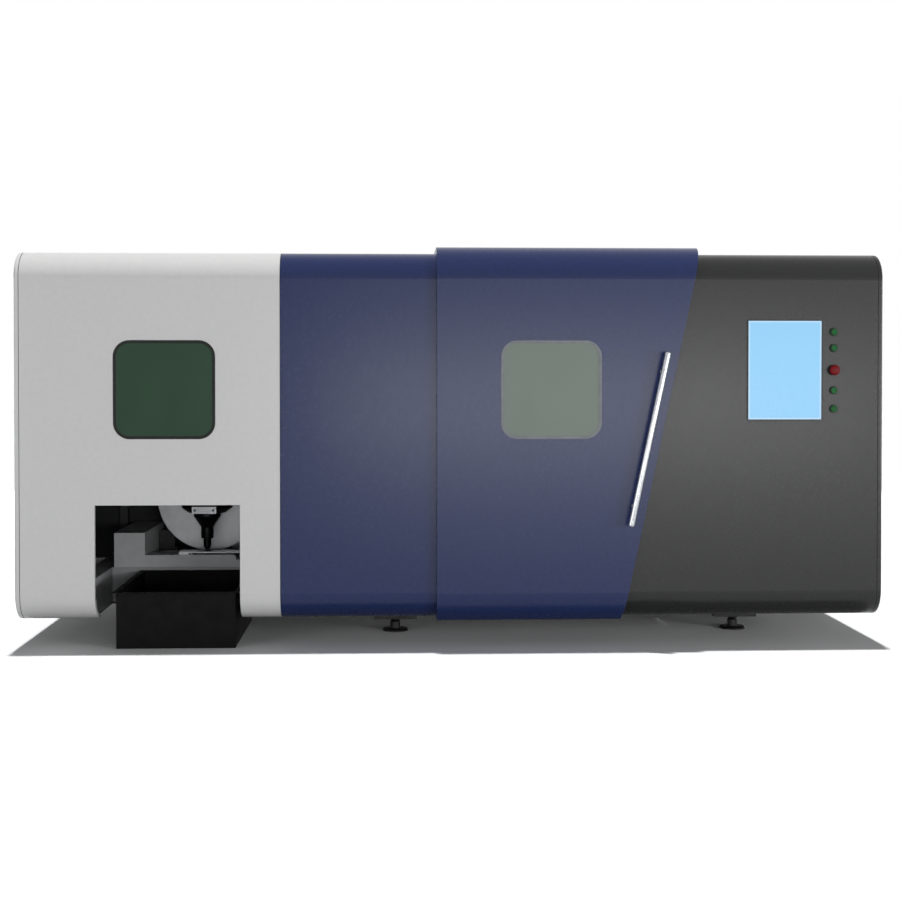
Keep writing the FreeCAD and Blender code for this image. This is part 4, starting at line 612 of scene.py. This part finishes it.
def windowSeal(name, centreX, face, rubber, body, node, wide, high, radius, height, lip, proud, inside):
    outline = loopOf(wide, high, radius, 16)
    ahead = np.roll(outline[:-1], -1, 0) - np.roll(outline[:-1], 1, 0)
    ahead = np.concatenate([ahead, ahead[:1]])
    inward = np.stack([-ahead[:, 1], ahead[:, 0]], -1)
    inward /= np.linalg.norm(inward, axis=1)[:, None]
    path = np.stack([centreX + outline[:, 0], np.full(len(outline), face), height + outline[:, 1]], -1)
    normals = np.stack([inward[:, 0], np.zeros(len(outline)), inward[:, 1]], -1)
    # a runs inward from the outline, b runs into the machine: bead, groove, glass lip, then the web behind.
    section = roundCorners([
        (0, 0), (0.0002, -proud * 0.6), (0.003, -proud), (0.0095, -proud), (0.0105, -proud * 0.45),
        (0.0118, -proud * 0.45), (0.0128, -proud * 0.9), (lip, -proud * 0.7), (lip, inside),
        (lip * 0.5, inside), (lip * 0.5, 0), (0, 0)], 0.0006, 3)
    makePiece(name, [carry(section, path, normals, np.array([0, 1.0, 0]))], rubber, body, [node])


windowSeal("left_window_rubber", -1.4855, -0.8, "seal_rubber", "machine", "left_window_seal", **sealSettings)
windowSeal("door_window_rubber", 0.506, -0.835, "grey_rubber", "sliding_door", "door_window_seal",
           **sealSettings)


# Cover joints: rubber profiles behind the gaps between the covers, and strips round the rear panels

jointSettings = {
    "front": -0.796, "rear": 0.841, "low": 0.149, "top": 2.046, "fold": 0.136, "rearFold": 0.056,
    "lip": 1.945, "foot": -0.650, "wide": 0.024, "thick": 0.0024, "gaps": (-0.893, 2.2245, -2.2245)}


def jointProfile(front, rear, low, top, fold, rearFold, lip, foot, wide, thick, gaps):
    # The covers' inner outline: flat floor flange, front, roof and rear lip, joined by quarter circles; a
    # shallow strip section with a round rib in the gap is carried along it.
    quarter = np.linspace(0, math.pi / 2, 13)
    lowArc = np.stack([front + fold - fold * np.sin(quarter), low + fold - fold * np.cos(quarter)], -1)
    highArc = np.stack([front + fold - fold * np.cos(quarter), top - fold + fold * np.sin(quarter)], -1)
    backArc = np.stack([
        rear - rearFold + rearFold * np.sin(quarter), top - rearFold + rearFold * np.cos(quarter)], -1)
    line = np.concatenate([[[foot, low]], lowArc, highArc, backArc, [[rear, lip]]])
    step = np.gradient(line, axis=0)
    step /= np.linalg.norm(step, axis=1)[:, None]
    normals = np.stack([0 * line[:, 0], -step[:, 1], step[:, 0]], -1)
    swell = np.linspace(math.pi, 0, 7)
    rib = np.stack([0.0012 * np.sin(swell), 0.0011 * np.cos(swell)], -1)
    section = np.array([(-thick, -wide / 2), (-0.0003, -wide / 2), *rib, (-0.0003, wide / 2),
                        (-thick, wide / 2), (-thick, -wide / 2)])
    grids = []
    for gap in gaps:
        path = np.stack([0 * line[:, 0] + gap, line[:, 0], line[:, 1]], -1)
        run = carry(section, path, normals, np.array([1.0, 0, 0]))
        start, end = np.broadcast_to(path[0], run[:1].shape), np.broadcast_to(path[-1], run[:1].shape)
        grids.append(np.concatenate([start, run, end]))
    makePiece("joint_profiles", grids[:-1], "seal_rubber", "machine")
    makePiece("left_joint_profile", grids[-1:], "grey_rubber", "machine")


jointProfile(**jointSettings)

stripSettings = {
    "uprights": ((-0.893, 0.012), (1.040, 0.012), (-2.2155, 0.0095), (2.2155, 0.0095)),
    "levels": (0.165, 1.930), "behind": (0.8215, 0.8247), "head": (-2.2, 2.2), "headY": (0.8380, 0.8407),
    "headZ": (1.9373, 1.9560)}


def rearStrips(uprights, levels, behind, head, headY, headZ):
    grids = []
    for middle, half in uprights:
        grids += spanBlock((middle - half, middle + half), behind, levels, 0.001)
    grids += spanBlock(head, headY, headZ, 0.001)
    makePiece("rear_strips", grids, "seal_rubber", "machine")


rearStrips(**stripSettings)


# Levelling feet

footSettings = {
    "places": ((-0.300, -0.265), (1.585, -0.265), (-1.650, 0.165), (-1.650, 0.735), (-0.300, 0.735),
               (1.585, 0.735)), "pad": 0.073, "thread": 0.015, "pitch": 0.0035}


def levellingFeet(places, pad, thread, pitch):
    # Every form is made at zero and set down at each foot's place.
    disc = roundCorners([(0, 0), (pad, 0), (pad, 0.006), (pad - 0.008, 0.014), (0.03, 0.014), (0, 0.014)],
                        [0, 0.001, 0.002, 0.004, 0, 0], 4)
    disc = lathe(disc, (0, 0, 0), (0, 0, 1), 64)
    neck = roundCorners([(0, 0.014), (0.028, 0.014), (0.028, 0.050), (0.020, 0.058), (thread, 0.058)],
                        [0, 0, 0.003, 0.003, 0], 4)
    neck = lathe(neck, (0, 0, 0), (0, 0, 1), 48)
    # Thread: radius falls by a triangle wave of height minus angle, so its crest winds up the spindle.
    level = np.linspace(0.058, 0.075, 60)[:, None]
    angle = np.linspace(0, 2 * math.pi, 49)[None, :]
    wave = np.abs(((level / pitch - angle / (2 * math.pi)) % 1) - 0.5) * 2
    radius = thread - 0.0016 * wave
    winding = np.stack([radius * np.cos(angle), radius * np.sin(angle), level + 0 * angle], -1)
    # Nut: hexagonal rings, cut back to a circle toward both faces.
    turn = np.linspace(0, 2 * math.pi, 73)
    flat = hexRadius(turn, 0.0255)
    eased = np.minimum(flat, 0.0282)
    bore, rim = 0 * turn + 0.0152, 0 * turn + 0.0245
    rings = [(bore, 0.0592), (rim, 0.0592), (eased, 0.0606), (flat * 0.999, 0.0616), (flat * 0.999, 0.0724),
             (eased, 0.0734), (rim, 0.0748), (bore, 0.0748)]
    nut = np.stack([np.stack([ring * np.cos(turn), ring * np.sin(turn), 0 * turn + height], -1)
                    for ring, height in rings])
    pads = [disc + [x, y, 0] for x, y in places]
    stems = [form + [x, y, 0] for x, y in places for form in (neck, winding)]
    stems += [nut + [x, y, 0] for x, y in places]
    makePiece("foot_discs", pads, "black_steel", "machine", ["foot_pads"])
    # Painted shade: the stems and nuts are made in dark oxide steel, not bright zinc, to stand for the shade
    # under the machine.
    makePiece("foot_stems", stems, "black_steel", "machine", ["foot_spindles"], 50)


levellingFeet(**footSettings)


# Rear side: panel screws, louvre hoods over the vents, the beaded exhaust collar

rearSettings = {"inset": 0.011, "head": 0.0062, "tall": 0.0032, "face": 0.845, "lipHeight": 1.966,
                "lipPitch": 0.3, "lipRuns": ((-2.17, -0.94), (-0.84, 1.17), (1.27, 2.17))}


def rearFasteners(inset, head, tall, face, lipHeight, lipPitch, lipRuns):
    places = []
    for name in ("rear_panel_left", "rear_panel_middle", "rear_panel_right"):
        low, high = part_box(name)
        rows = np.linspace(low[2] + 0.03, high[2] - 0.03, 6)
        columns = np.linspace(low[0] + inset, high[0] - inset, 5)
        places.append(gridPlaces(columns[[0, -1]], high[1], rows))
        places.append(gridPlaces(columns[1:-1], high[1], [low[2] + inset, high[2] - 0.02]))
    for left, right in lipRuns:
        count = round((right - left) / lipPitch) + 1
        places.append(gridPlaces(np.linspace(left, right, count), face, lipHeight))
    capScrews("rear_screws", np.concatenate(places), (0, 1, 0), head, tall, "zinc_steel", "machine")


rearFasteners(**rearSettings)

louvreSettings = {"wide": 0.312, "above": 0.012, "below": 0.007, "deep": 0.008, "wall": 0.0012}


def louvre(centreX, level, face, wide, above, below, deep, wall):
    # Pressed hood: u runs across and v down; it stands out by deep * sin(v * 90 degrees), falling to nothing
    # at both ends as 1 - |2u - 1| ** 6, and an inner layer a wall's thickness behind closes it.
    u = np.linspace(0, 1, 17)[None, :]
    v = np.linspace(0, 1, 6)[:, None]
    ends = 1 - np.abs(2 * u - 1) ** 6
    outer = deep * np.sin(v * math.pi / 2) * ends
    inner = outer - wall * ends - 0.0001
    x = centreX + (u - 0.5) * wide + 0 * v
    z = level + above - (above + below) * v + 0 * u
    sheets = [np.stack([x, face + outer, z], -1), np.stack([x, face + inner, z], -1)[::-1]]
    return np.concatenate([*sheets, sheets[0][:1]])


def louvres(name, columns, slotName, body, count=9, pitch=0.036):
    grids = []
    for centreX, lowest, face in columns:
        grids += [louvre(centreX, lowest + index * pitch, face, **louvreSettings) for index in range(count)]
    makePiece(name, grids, slotName, body, sharp=50)


louvres("middle_louvres", ((-0.400, 0.420, 0.845), (0.540, 0.420, 0.845)), "light_paint", "machine")
louvres("right_louvres", ((1.800, 0.380, 0.845),), "dark_paint", "machine")
louvres("cabinet_louvres", ((1.670, 0.890, 0.866),), "dark_paint", "rear_door")

exhaustSettings = {
    "centre": (-1.65, 0.845, 1.70), "radius": 0.100, "long": 0.058, "wall": 0.003, "flange": 0.130}


def exhaustCollar(centre, radius, long, wall, flange):
    inside = radius - wall
    profile = roundCorners([
        (inside, 0), (flange, 0), (flange, 0.004), (radius, 0.004), (radius, 0.034),
        (radius + 0.0035, 0.0385), (radius, 0.043), (radius, long), (inside, long), (inside, 0)],
        [0, 0, 0.001, 0.003, 0.002, 0.003, 0.002, 0.001, 0.001, 0], 4)
    collar = lathe(profile, centre, (0, 1, 0), 96)
    makePiece("exhaust_collar", [collar], "galvanised", "machine", ["exhaust_spigot"])
    angle = np.arange(8) * math.pi / 4 + math.pi / 8
    reach = (radius + flange) / 2 + 0.002
    places = np.stack([centre[0] + reach * np.cos(angle), 0 * angle + centre[1] + 0.004,
                       centre[2] + reach * np.sin(angle)], -1)
    capScrews("exhaust_screws", places, (0, 1, 0), 0.005, 0.003, "zinc_steel", "machine")


exhaustCollar(**exhaustSettings)


# Right end: the guide sleeve for the raw tube

sleeveSettings = {"centre": (2.246, 0.31, 0.56), "bore": 0.075}


def infeedSleeve(centre, bore):
    # The lead-in is a quarter circle from the flange's face into the bore.
    turn = np.linspace(0, math.pi / 2, 8)
    mouth = np.stack([bore + 0.014 - 0.014 * np.cos(turn), -0.014 + 0.014 * np.sin(turn)], -1)
    back = roundCorners([
        (bore + 0.014, 0), (bore + 0.035, 0), (bore + 0.035, -0.008), (bore + 0.010, -0.008),
        (bore + 0.010, -0.060), (bore + 0.004, -0.060), (bore, -0.052), (bore, -0.014)],
        [0, 0.001, 0.001, 0.003, 0.001, 0.001, 0.001, 0], 3)
    profile = np.concatenate([back, mouth[1:]])
    sleeve = lathe(profile, centre, (1, 0, 0), 96)
    makePiece("infeed_sleeve", [sleeve], "zinc_steel", "machine", ["infeed_ring"])


infeedSleeve(**sleeveSettings)


# Guide rails: caps in the bolt holes, one every 60 mm

railSettings = {"pitch": 0.060, "cap": 0.0055, "proud": 0.00012, "bedStart": -0.72, "bedY": (0.160, 0.460),
                "bedTop": 0.378, "portalZ": (1.340, 1.480), "roofY": -0.165, "roofStart": -0.865}


def railCaps(pitch, cap, proud, bedStart, bedY, bedTop, portalZ, roofY, roofStart):
    def disc(place, axis):
        profile = [(0, 0), (cap, 0), (cap, proud), (cap * 0.8, proud), (0, proud * 0.6)]
        return lathe(profile, place, axis, 16)

    low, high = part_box("guide_rails")
    along = np.arange(bedStart, high[0] - 0.02, pitch)
    grids = [disc(place, (0, 0, 1)) for place in gridPlaces(along, bedY, bedTop)]
    across = np.arange(low[1] + 0.03, high[1] - 0.02, pitch)
    grids += [disc(place, (-1, 0, 0)) for place in gridPlaces(low[0], across, portalZ)]
    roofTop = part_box("door_tracks")[1]
    along = np.arange(roofStart + 0.03, roofTop[0] - 0.02, pitch)
    grids += [disc(place, (0, 0, 1)) for place in gridPlaces(along, roofY, roofTop[2])]
    makePiece("rail_caps", grids, "black_steel", "machine")


railCaps(**railSettings)


# Chucks: screws in the drums, housings, jaws and motors

chuckSettings = {"centreY": 0.31, "centreZ": 0.56, "drumReach": 0.120, "corner": 0.119, "head": 0.0065,
                 "tall": 0.006, "drum": 0.040, "front": 0.072, "back": 0.292}


def chuckFasteners(prefix, face, frameBody, centreY, centreZ, drumReach, corner, head, tall, drum, front,
                   back):
    angle = np.radians([-52, -26, 0, 26, 52, 128, 154, 180, 206, 232])
    ring = np.stack([0 * angle + face + drum, centreY + drumReach * np.cos(angle),
                     centreZ + drumReach * np.sin(angle)], -1)
    capScrews(f"{prefix}_drum_screws", ring, (-1, 0, 0), head, tall, "black_steel", f"{prefix}_drum")
    corners = gridPlaces(0, (centreY - corner, centreY + corner), (centreZ - corner, centreZ + corner))
    motor = gridPlaces((face + 0.130, face + 0.234), centreY + 0.290, (centreZ - 0.062, centreZ + 0.042))
    grids = [capScrew(place, (-1, 0, 0), head * 1.3, tall) for place in corners + [face + front, 0, 0]]
    grids += [capScrew(place, (1, 0, 0), head * 1.3, tall) for place in corners + [face + back, 0, 0]]
    grids += [capScrew(place, (0, 1, 0), head, tall) for place in motor]
    makePiece(f"{prefix}_housing_screws", grids, "black_steel", frameBody)
    # The motor's two plug sockets: turned studs with a knurled nut, on its upper side.
    stud = roundCorners([(0, -0.001), (0.013, -0.001), (0.013, 0.006), (0.0105, 0.006), (0.0105, 0.024),
                         (0.008, 0.024), (0.008, 0.008), (0, 0.008)], 0.0008, 2)
    plugs = []
    for shift in (-0.035, 0.035):
        foot = (face + 0.182 + shift, centreY + 0.235, centreZ + 0.060)
        plugs += [lathe(stud, foot, (0, 0, 1), 32),
                  knurledRing(foot, (0, 0, 1), 0.0140, 0.009, 0.019, 20, 0.0008)]
    makePiece(f"{prefix}_motor_plugs", plugs, "black_anodised", frameBody)
    for side, name in ((1, "up"), (-1, "down")):
        jaw = gridPlaces(face, centreY, centreZ + side * np.array([0.098, 0.121]))
        jawBody = f"{prefix}_jaw_{name}"
        capScrews(f"{jawBody}_screws", jaw, (-1, 0, 0), head, tall * 0.7, "zinc_steel", jawBody)


chuckFasteners("front", -1.077, "machine", **chuckSettings)
chuckFasteners("feed", 0.860, "carriage", **chuckSettings)
carriageLow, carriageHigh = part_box("feed_carriage")
carriagePlaces = gridPlaces(
    np.linspace(carriageLow[0] + 0.03, carriageHigh[0] - 0.03, 6),
    (carriageLow[1] + 0.018, carriageHigh[1] - 0.018), carriageHigh[2])
capScrews("carriage_screws", carriagePlaces, (0, 0, 1), 0.0065, 0.006, "black_steel", "carriage")


# Head axes: gib screws, foot screws, and the cutting head's own rings and fittings

gibPlaces = gridPlaces(-1.270, (0.514, 0.666), np.linspace(1.33, 1.49, 5))
capScrews("gib_screws", gibPlaces, (-1, 0, 0), 0.0065, 0.006, "black_steel", "head_saddle")
portalPlaces = gridPlaces((-1.275, -1.200), (0.645, 0.715), 0.398)
capScrews("portal_screws", portalPlaces, (0, 0, 1), 0.009, 0.008, "black_steel", "machine")

headSettings = {
    "x": -1.408, "y": 0.31, "screwReach": 0.053, "screwLevel": 0.905, "fittingReach": 0.0995,
    "fittingLevels": (0.745, 0.790), "thumb": (0.053, 0.156, 0.630),
    "nozzle": [(0, 0.589), (0.079, 0.589), (0.079, 0.583), (0.037, 0.521), (0.036, 0.515), (0.036, 0.456),
               (0.033, 0.453), (0.022, 0.453), (0.022, 0.404), (0.019, 0.400), (0.0085, 0.386),
               (0.004, 0.386), (0.004, 0.395), (0, 0.395)],
    "corners": [0, 0.002, 0.002, 0.004, 0.003, 0.002, 0.001, 0.002, 0.002, 0.001, 0.0005, 0, 0, 0],
    # radius, low, high, teeth and depth of each knurled ring
    "rings": ((0.0368, 0.476, 0.498, 36, 0.0008), (0.1012, 0.850, 0.868, 90, 0.001),
              (0.0362, 0.925, 0.950, 36, 0.0008)),
}


def headDetails(x, y, screwReach, screwLevel, fittingReach, fittingLevels, thumb, nozzle, corners, rings):
    up, ahead = (0, 0, 1), (0, -1, 0)
    body = lathe(roundCorners(nozzle, corners, 3), (x, y, 0), up, 96)
    makePiece("nozzle_body", [body], "black_anodised", "head_swivel", ["nozzle"])
    bands = [knurledRing((x, y, 0), up, *ring) for ring in rings]
    makePiece("head_rings", bands, "black_anodised", "head_swivel")
    angle = np.arange(6) * math.pi / 3 + 0.5
    places = np.stack([
        x + screwReach * np.cos(angle), y + screwReach * np.sin(angle), 0 * angle + screwLevel], -1)
    capScrews("head_screws", places, up, 0.005, 0.004, "zinc_steel", "head_swivel")
    fitting = roundCorners([(0, -0.003), (0.009, -0.003), (0.009, 0.008), (0.007, 0.008), (0.007, 0.019),
                            (0.0045, 0.019), (0.0045, 0.008), (0, 0.008)], 0.0006, 2)
    studs = [lathe(fitting, (x + side * fittingReach, y, height), (side, 0, 0), 32)
             for side in (-1, 1) for height in fittingLevels]
    makePiece("water_fittings", studs, "zinc_steel", "head_swivel")
    stem = [(0, -0.0004), (0.004, -0.0004), (0.004, 0.004), (0.0045, 0.0045), (0, 0.0125)]
    thumbs = []
    for side in (-1, 1):
        foot = (x + side * thumb[0], *thumb[1:])
        thumbs += [lathe(stem, foot, ahead, 24), knurledRing(foot, ahead, 0.0075, 0.003, 0.012, 20, 0.0006)]
    makePiece("drawer_thumb_screws", thumbs, "zinc_steel", "drawer")


headDetails(**headSettings)


# Welds on the bin and under the frame

weldSettings = {"binX": (-1.738, -1.128), "binY": (-0.770, 0.070), "binBead": 0.0022,
                "bracket": (0.115, 0.066, 0.1005), "frameBead": 0.004, "framePitch": 0.009}


def weldSeams(binX, binY, binBead, bracket, frameBead, framePitch):
    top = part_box("scrap_bin")[1][2] - 0.003
    seams = [weldBead((x, y, 0.002), (x, y, top), binBead) for x in binX for y in binY]
    makePiece("bin_welds", seams, "bin_paint", "machine", sharp=60)
    seams = []
    for x, y in footSettings["places"]:
        for side in (-1, 1):
            start = np.array([x - bracket[0], y + side * bracket[1], bracket[2]])
            seams.append(weldBead(start, start + [2 * bracket[0], 0, 0], frameBead, framePitch))
    makePiece("frame_welds", seams, "frame_paint", "machine", sharp=60)


weldSeams(**weldSettings)


# Inside the cabinet and on the laser source

cabinetSettings = {
    "left": 1.410, "driveWide": 0.110, "drivePitch": 0.140, "driveZ": 1.400, "driveHigh": 0.300,
    "driveFace": 0.683, "switchWide": 0.070, "switchPitch": 0.095, "switchZ": 1.150, "switchHigh": 0.090,
    "switchFace": 0.583}


def cabinetDetails(left, driveWide, drivePitch, driveZ, driveHigh, driveFace, switchWide, switchPitch,
                   switchZ, switchHigh, switchFace):
    covers, windows, screws = [], [], []
    for index in range(4):
        x = left + index * drivePitch
        covers += spanBlock((x + 0.008, x + driveWide - 0.008), (driveFace - 0.001, driveFace + 0.006),
                            (driveZ + 0.070, driveZ + driveHigh - 0.015), 0.002)
        windows += spanBlock((x + 0.030, x + driveWide - 0.030), (driveFace + 0.005, driveFace + 0.0072),
                             (driveZ + 0.225, driveZ + 0.255), 0.001)
        columns = x + np.linspace(0.014, driveWide - 0.014, 7)
        screws.append(gridPlaces(columns, driveFace, driveZ + np.array([0.018, 0.044])))
    for index in range(6):
        x = left + index * switchPitch
        covers += spanBlock((x + 0.006, x + switchWide - 0.006), (switchFace - 0.001, switchFace + 0.010),
                            (switchZ + 0.022, switchZ + switchHigh - 0.022), 0.002)
        for pole in range(3):
            centre = x + 0.017 + pole * 0.018
            windows += spanBlock((centre - 0.004, centre + 0.004), (switchFace + 0.008, switchFace + 0.022),
                                 (switchZ + 0.036, switchZ + 0.046), 0.0015)
        columns = x + np.array([0.017, 0.035, 0.053])
        screws.append(gridPlaces(columns, switchFace, switchZ + np.array([0.011, switchHigh - 0.011])))
    makePiece("module_covers", covers, "black_plastic", "machine")
    makePiece("module_levers", windows, "green_plastic", "machine")
    capScrews("terminal_screws", np.concatenate(screws), (0, 1, 0), 0.0034, 0.002, "zinc_steel", "machine")
    low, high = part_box("laser_source")
    slats = []
    for level in np.linspace(low[2] + 0.075, high[2] - 0.075, 15):
        slats += spanBlock((low[0] + 0.062, high[0] - 0.062), (high[1] - 0.0118, high[1] - 0.001),
                           (level - 0.003, level + 0.003), 0.001)
    makePiece("source_slats", slats, "black_plastic", "machine")
    columns = np.linspace(low[0] + 0.03, high[0] - 0.03, 5)
    places = gridPlaces(columns, high[1], (low[2] + 0.03, high[2] - 0.03))
    capScrews("source_screws", places, (0, 1, 0), 0.005, 0.0028, "zinc_steel", "machine")


cabinetDetails(**cabinetSettings)
print("stage: pieces built")


# Floor, light and camera

stageSettings = {"floor": "#f1f2f3", "bounce": "#8a8b8c", "reach": 60.0, "fill": 0.10}


def whereSeen(tree):
    # 1 for the rays that see, mirror or look through to a surface, 0 for those that light others with it.
    rays = addNode(tree, "LightPath")
    seen = addNode(tree, "Math", {"operation": "MAXIMUM"},
                   {0: (rays, "Is Camera Ray"), 1: (rays, "Is Glossy Ray")})
    also = addNode(tree, "Math", {"operation": "MAXIMUM"}, {0: (seen, 0), 1: (rays, "Is Transmission Ray")})
    return also, 0


def buildStage(floor, bounce, reach, fill):
    # A flat floor, pale wherever it is seen or mirrored and darker in the light it throws back, under an
    # even sky that is white wherever it is seen or mirrored.
    edge = np.linspace(-reach, reach, 9)
    grid = np.stack([*np.meshgrid(edge, edge, indexing="ij"), np.zeros((9, 9))], -1)
    points, faces = joinGrids([grid])
    mesh = bpy.data.meshes.new("studio_floor")
    mesh.from_pydata(points.tolist(), [], faces.tolist())
    material, tree = newMaterial("matt_floor")
    shade = blendColour(tree, whereSeen(tree), bounce, floor)
    closeMaterial(material, {}, {"Color": shade}, "BsdfDiffuse")
    mesh.materials.append(material)
    ground = addObject("studio_floor", mesh)
    world = bpy.data.worlds.new("studio")
    bpy.context.scene.world = world
    world.use_nodes = True
    tree = world.node_tree
    tree.nodes.clear()
    seen = whereSeen(tree)
    grey = addNode(tree, "Background", {"Color": (1, 1, 1, 1), "Strength": fill})
    white = addNode(tree, "Background", {"Color": (1, 1, 1, 1), "Strength": 1.0})
    mix = addNode(tree, "MixShader", {}, {0: seen, 1: (grey, 0), 2: (white, 0)})
    output = tree.nodes.new("ShaderNodeOutputWorld")
    tree.links.new(mix.outputs[0], output.inputs["Surface"])


buildStage(**stageSettings)

lampSettings = {
    "front_strip": {"at": (2.3, -11.0, 1.1), "aim": (2.3, 0.0, 1.1), "size": (6.8, 0.6), "power": 275},
    "left_softbox": {"at": (-7.5, -8.0, 1.3), "aim": (-0.5, -0.8, 1.0), "size": (5.0, 2.2), "power": 205},
    "right_softbox": {"at": (8.5, -8.0, 1.4), "aim": (0.5, -0.8, 1.0), "size": (4.5, 2.2), "power": 510},
    "rear_left_softbox": {"at": (-7.0, 8.0, 1.5), "aim": (0.0, 0.8, 1.0), "size": (5.0, 2.4), "power": 280},
    "rear_right_softbox": {"at": (8.0, 7.0, 1.5), "aim": (0.0, 0.8, 1.0), "size": (5.0, 2.4), "power": 280},
}


def addLamp(name, at, aim, size, power):
    data = bpy.data.lights.new(name, "AREA")
    data.shape = "RECTANGLE"
    data.size, data.size_y = size
    data.energy = power
    lamp = addObject(name, data)
    away = np.array(at) - np.array(aim)
    away /= np.linalg.norm(away)
    lamp.location = at
    lamp.rotation_euler = (math.acos(away[2]), 0, math.atan2(away[0], -away[1]))


for lampName, settings in lampSettings.items():
    addLamp(lampName, **settings)

skylightSettings = {"strength": 3.3, "angle": 1.5, "lean": -4.5}   # high and a little behind the machine
skylight = addObject("skylight", bpy.data.lights.new("skylight", "SUN"))
skylight.data.energy = skylightSettings["strength"]
skylight.data.angle = math.radians(skylightSettings["angle"])
skylight.visible_glossy = False
skylight.rotation_euler = (math.radians(skylightSettings["lean"]), 0, 0)

cameraSettings = {"at": (-0.314, -8.295, 1.400), "tilt": math.pi / 2 - 0.01763, "turn": -0.03962,
                  "lens": 58.0, "shift": -0.0519}
camera = addObject("camera", bpy.data.cameras.new("camera"))
camera.location = cameraSettings["at"]
camera.rotation_euler = (cameraSettings["tilt"], 0, cameraSettings["turn"])
camera.data.lens = cameraSettings["lens"]
camera.data.sensor_width = 36
camera.data.shift_y = cameraSettings["shift"]
camera.data.clip_end = 200
bpy.context.scene.camera = camera
bpy.context.scene.view_settings.view_transform = "Standard"
print("stage: floor, lamps and camera placed")
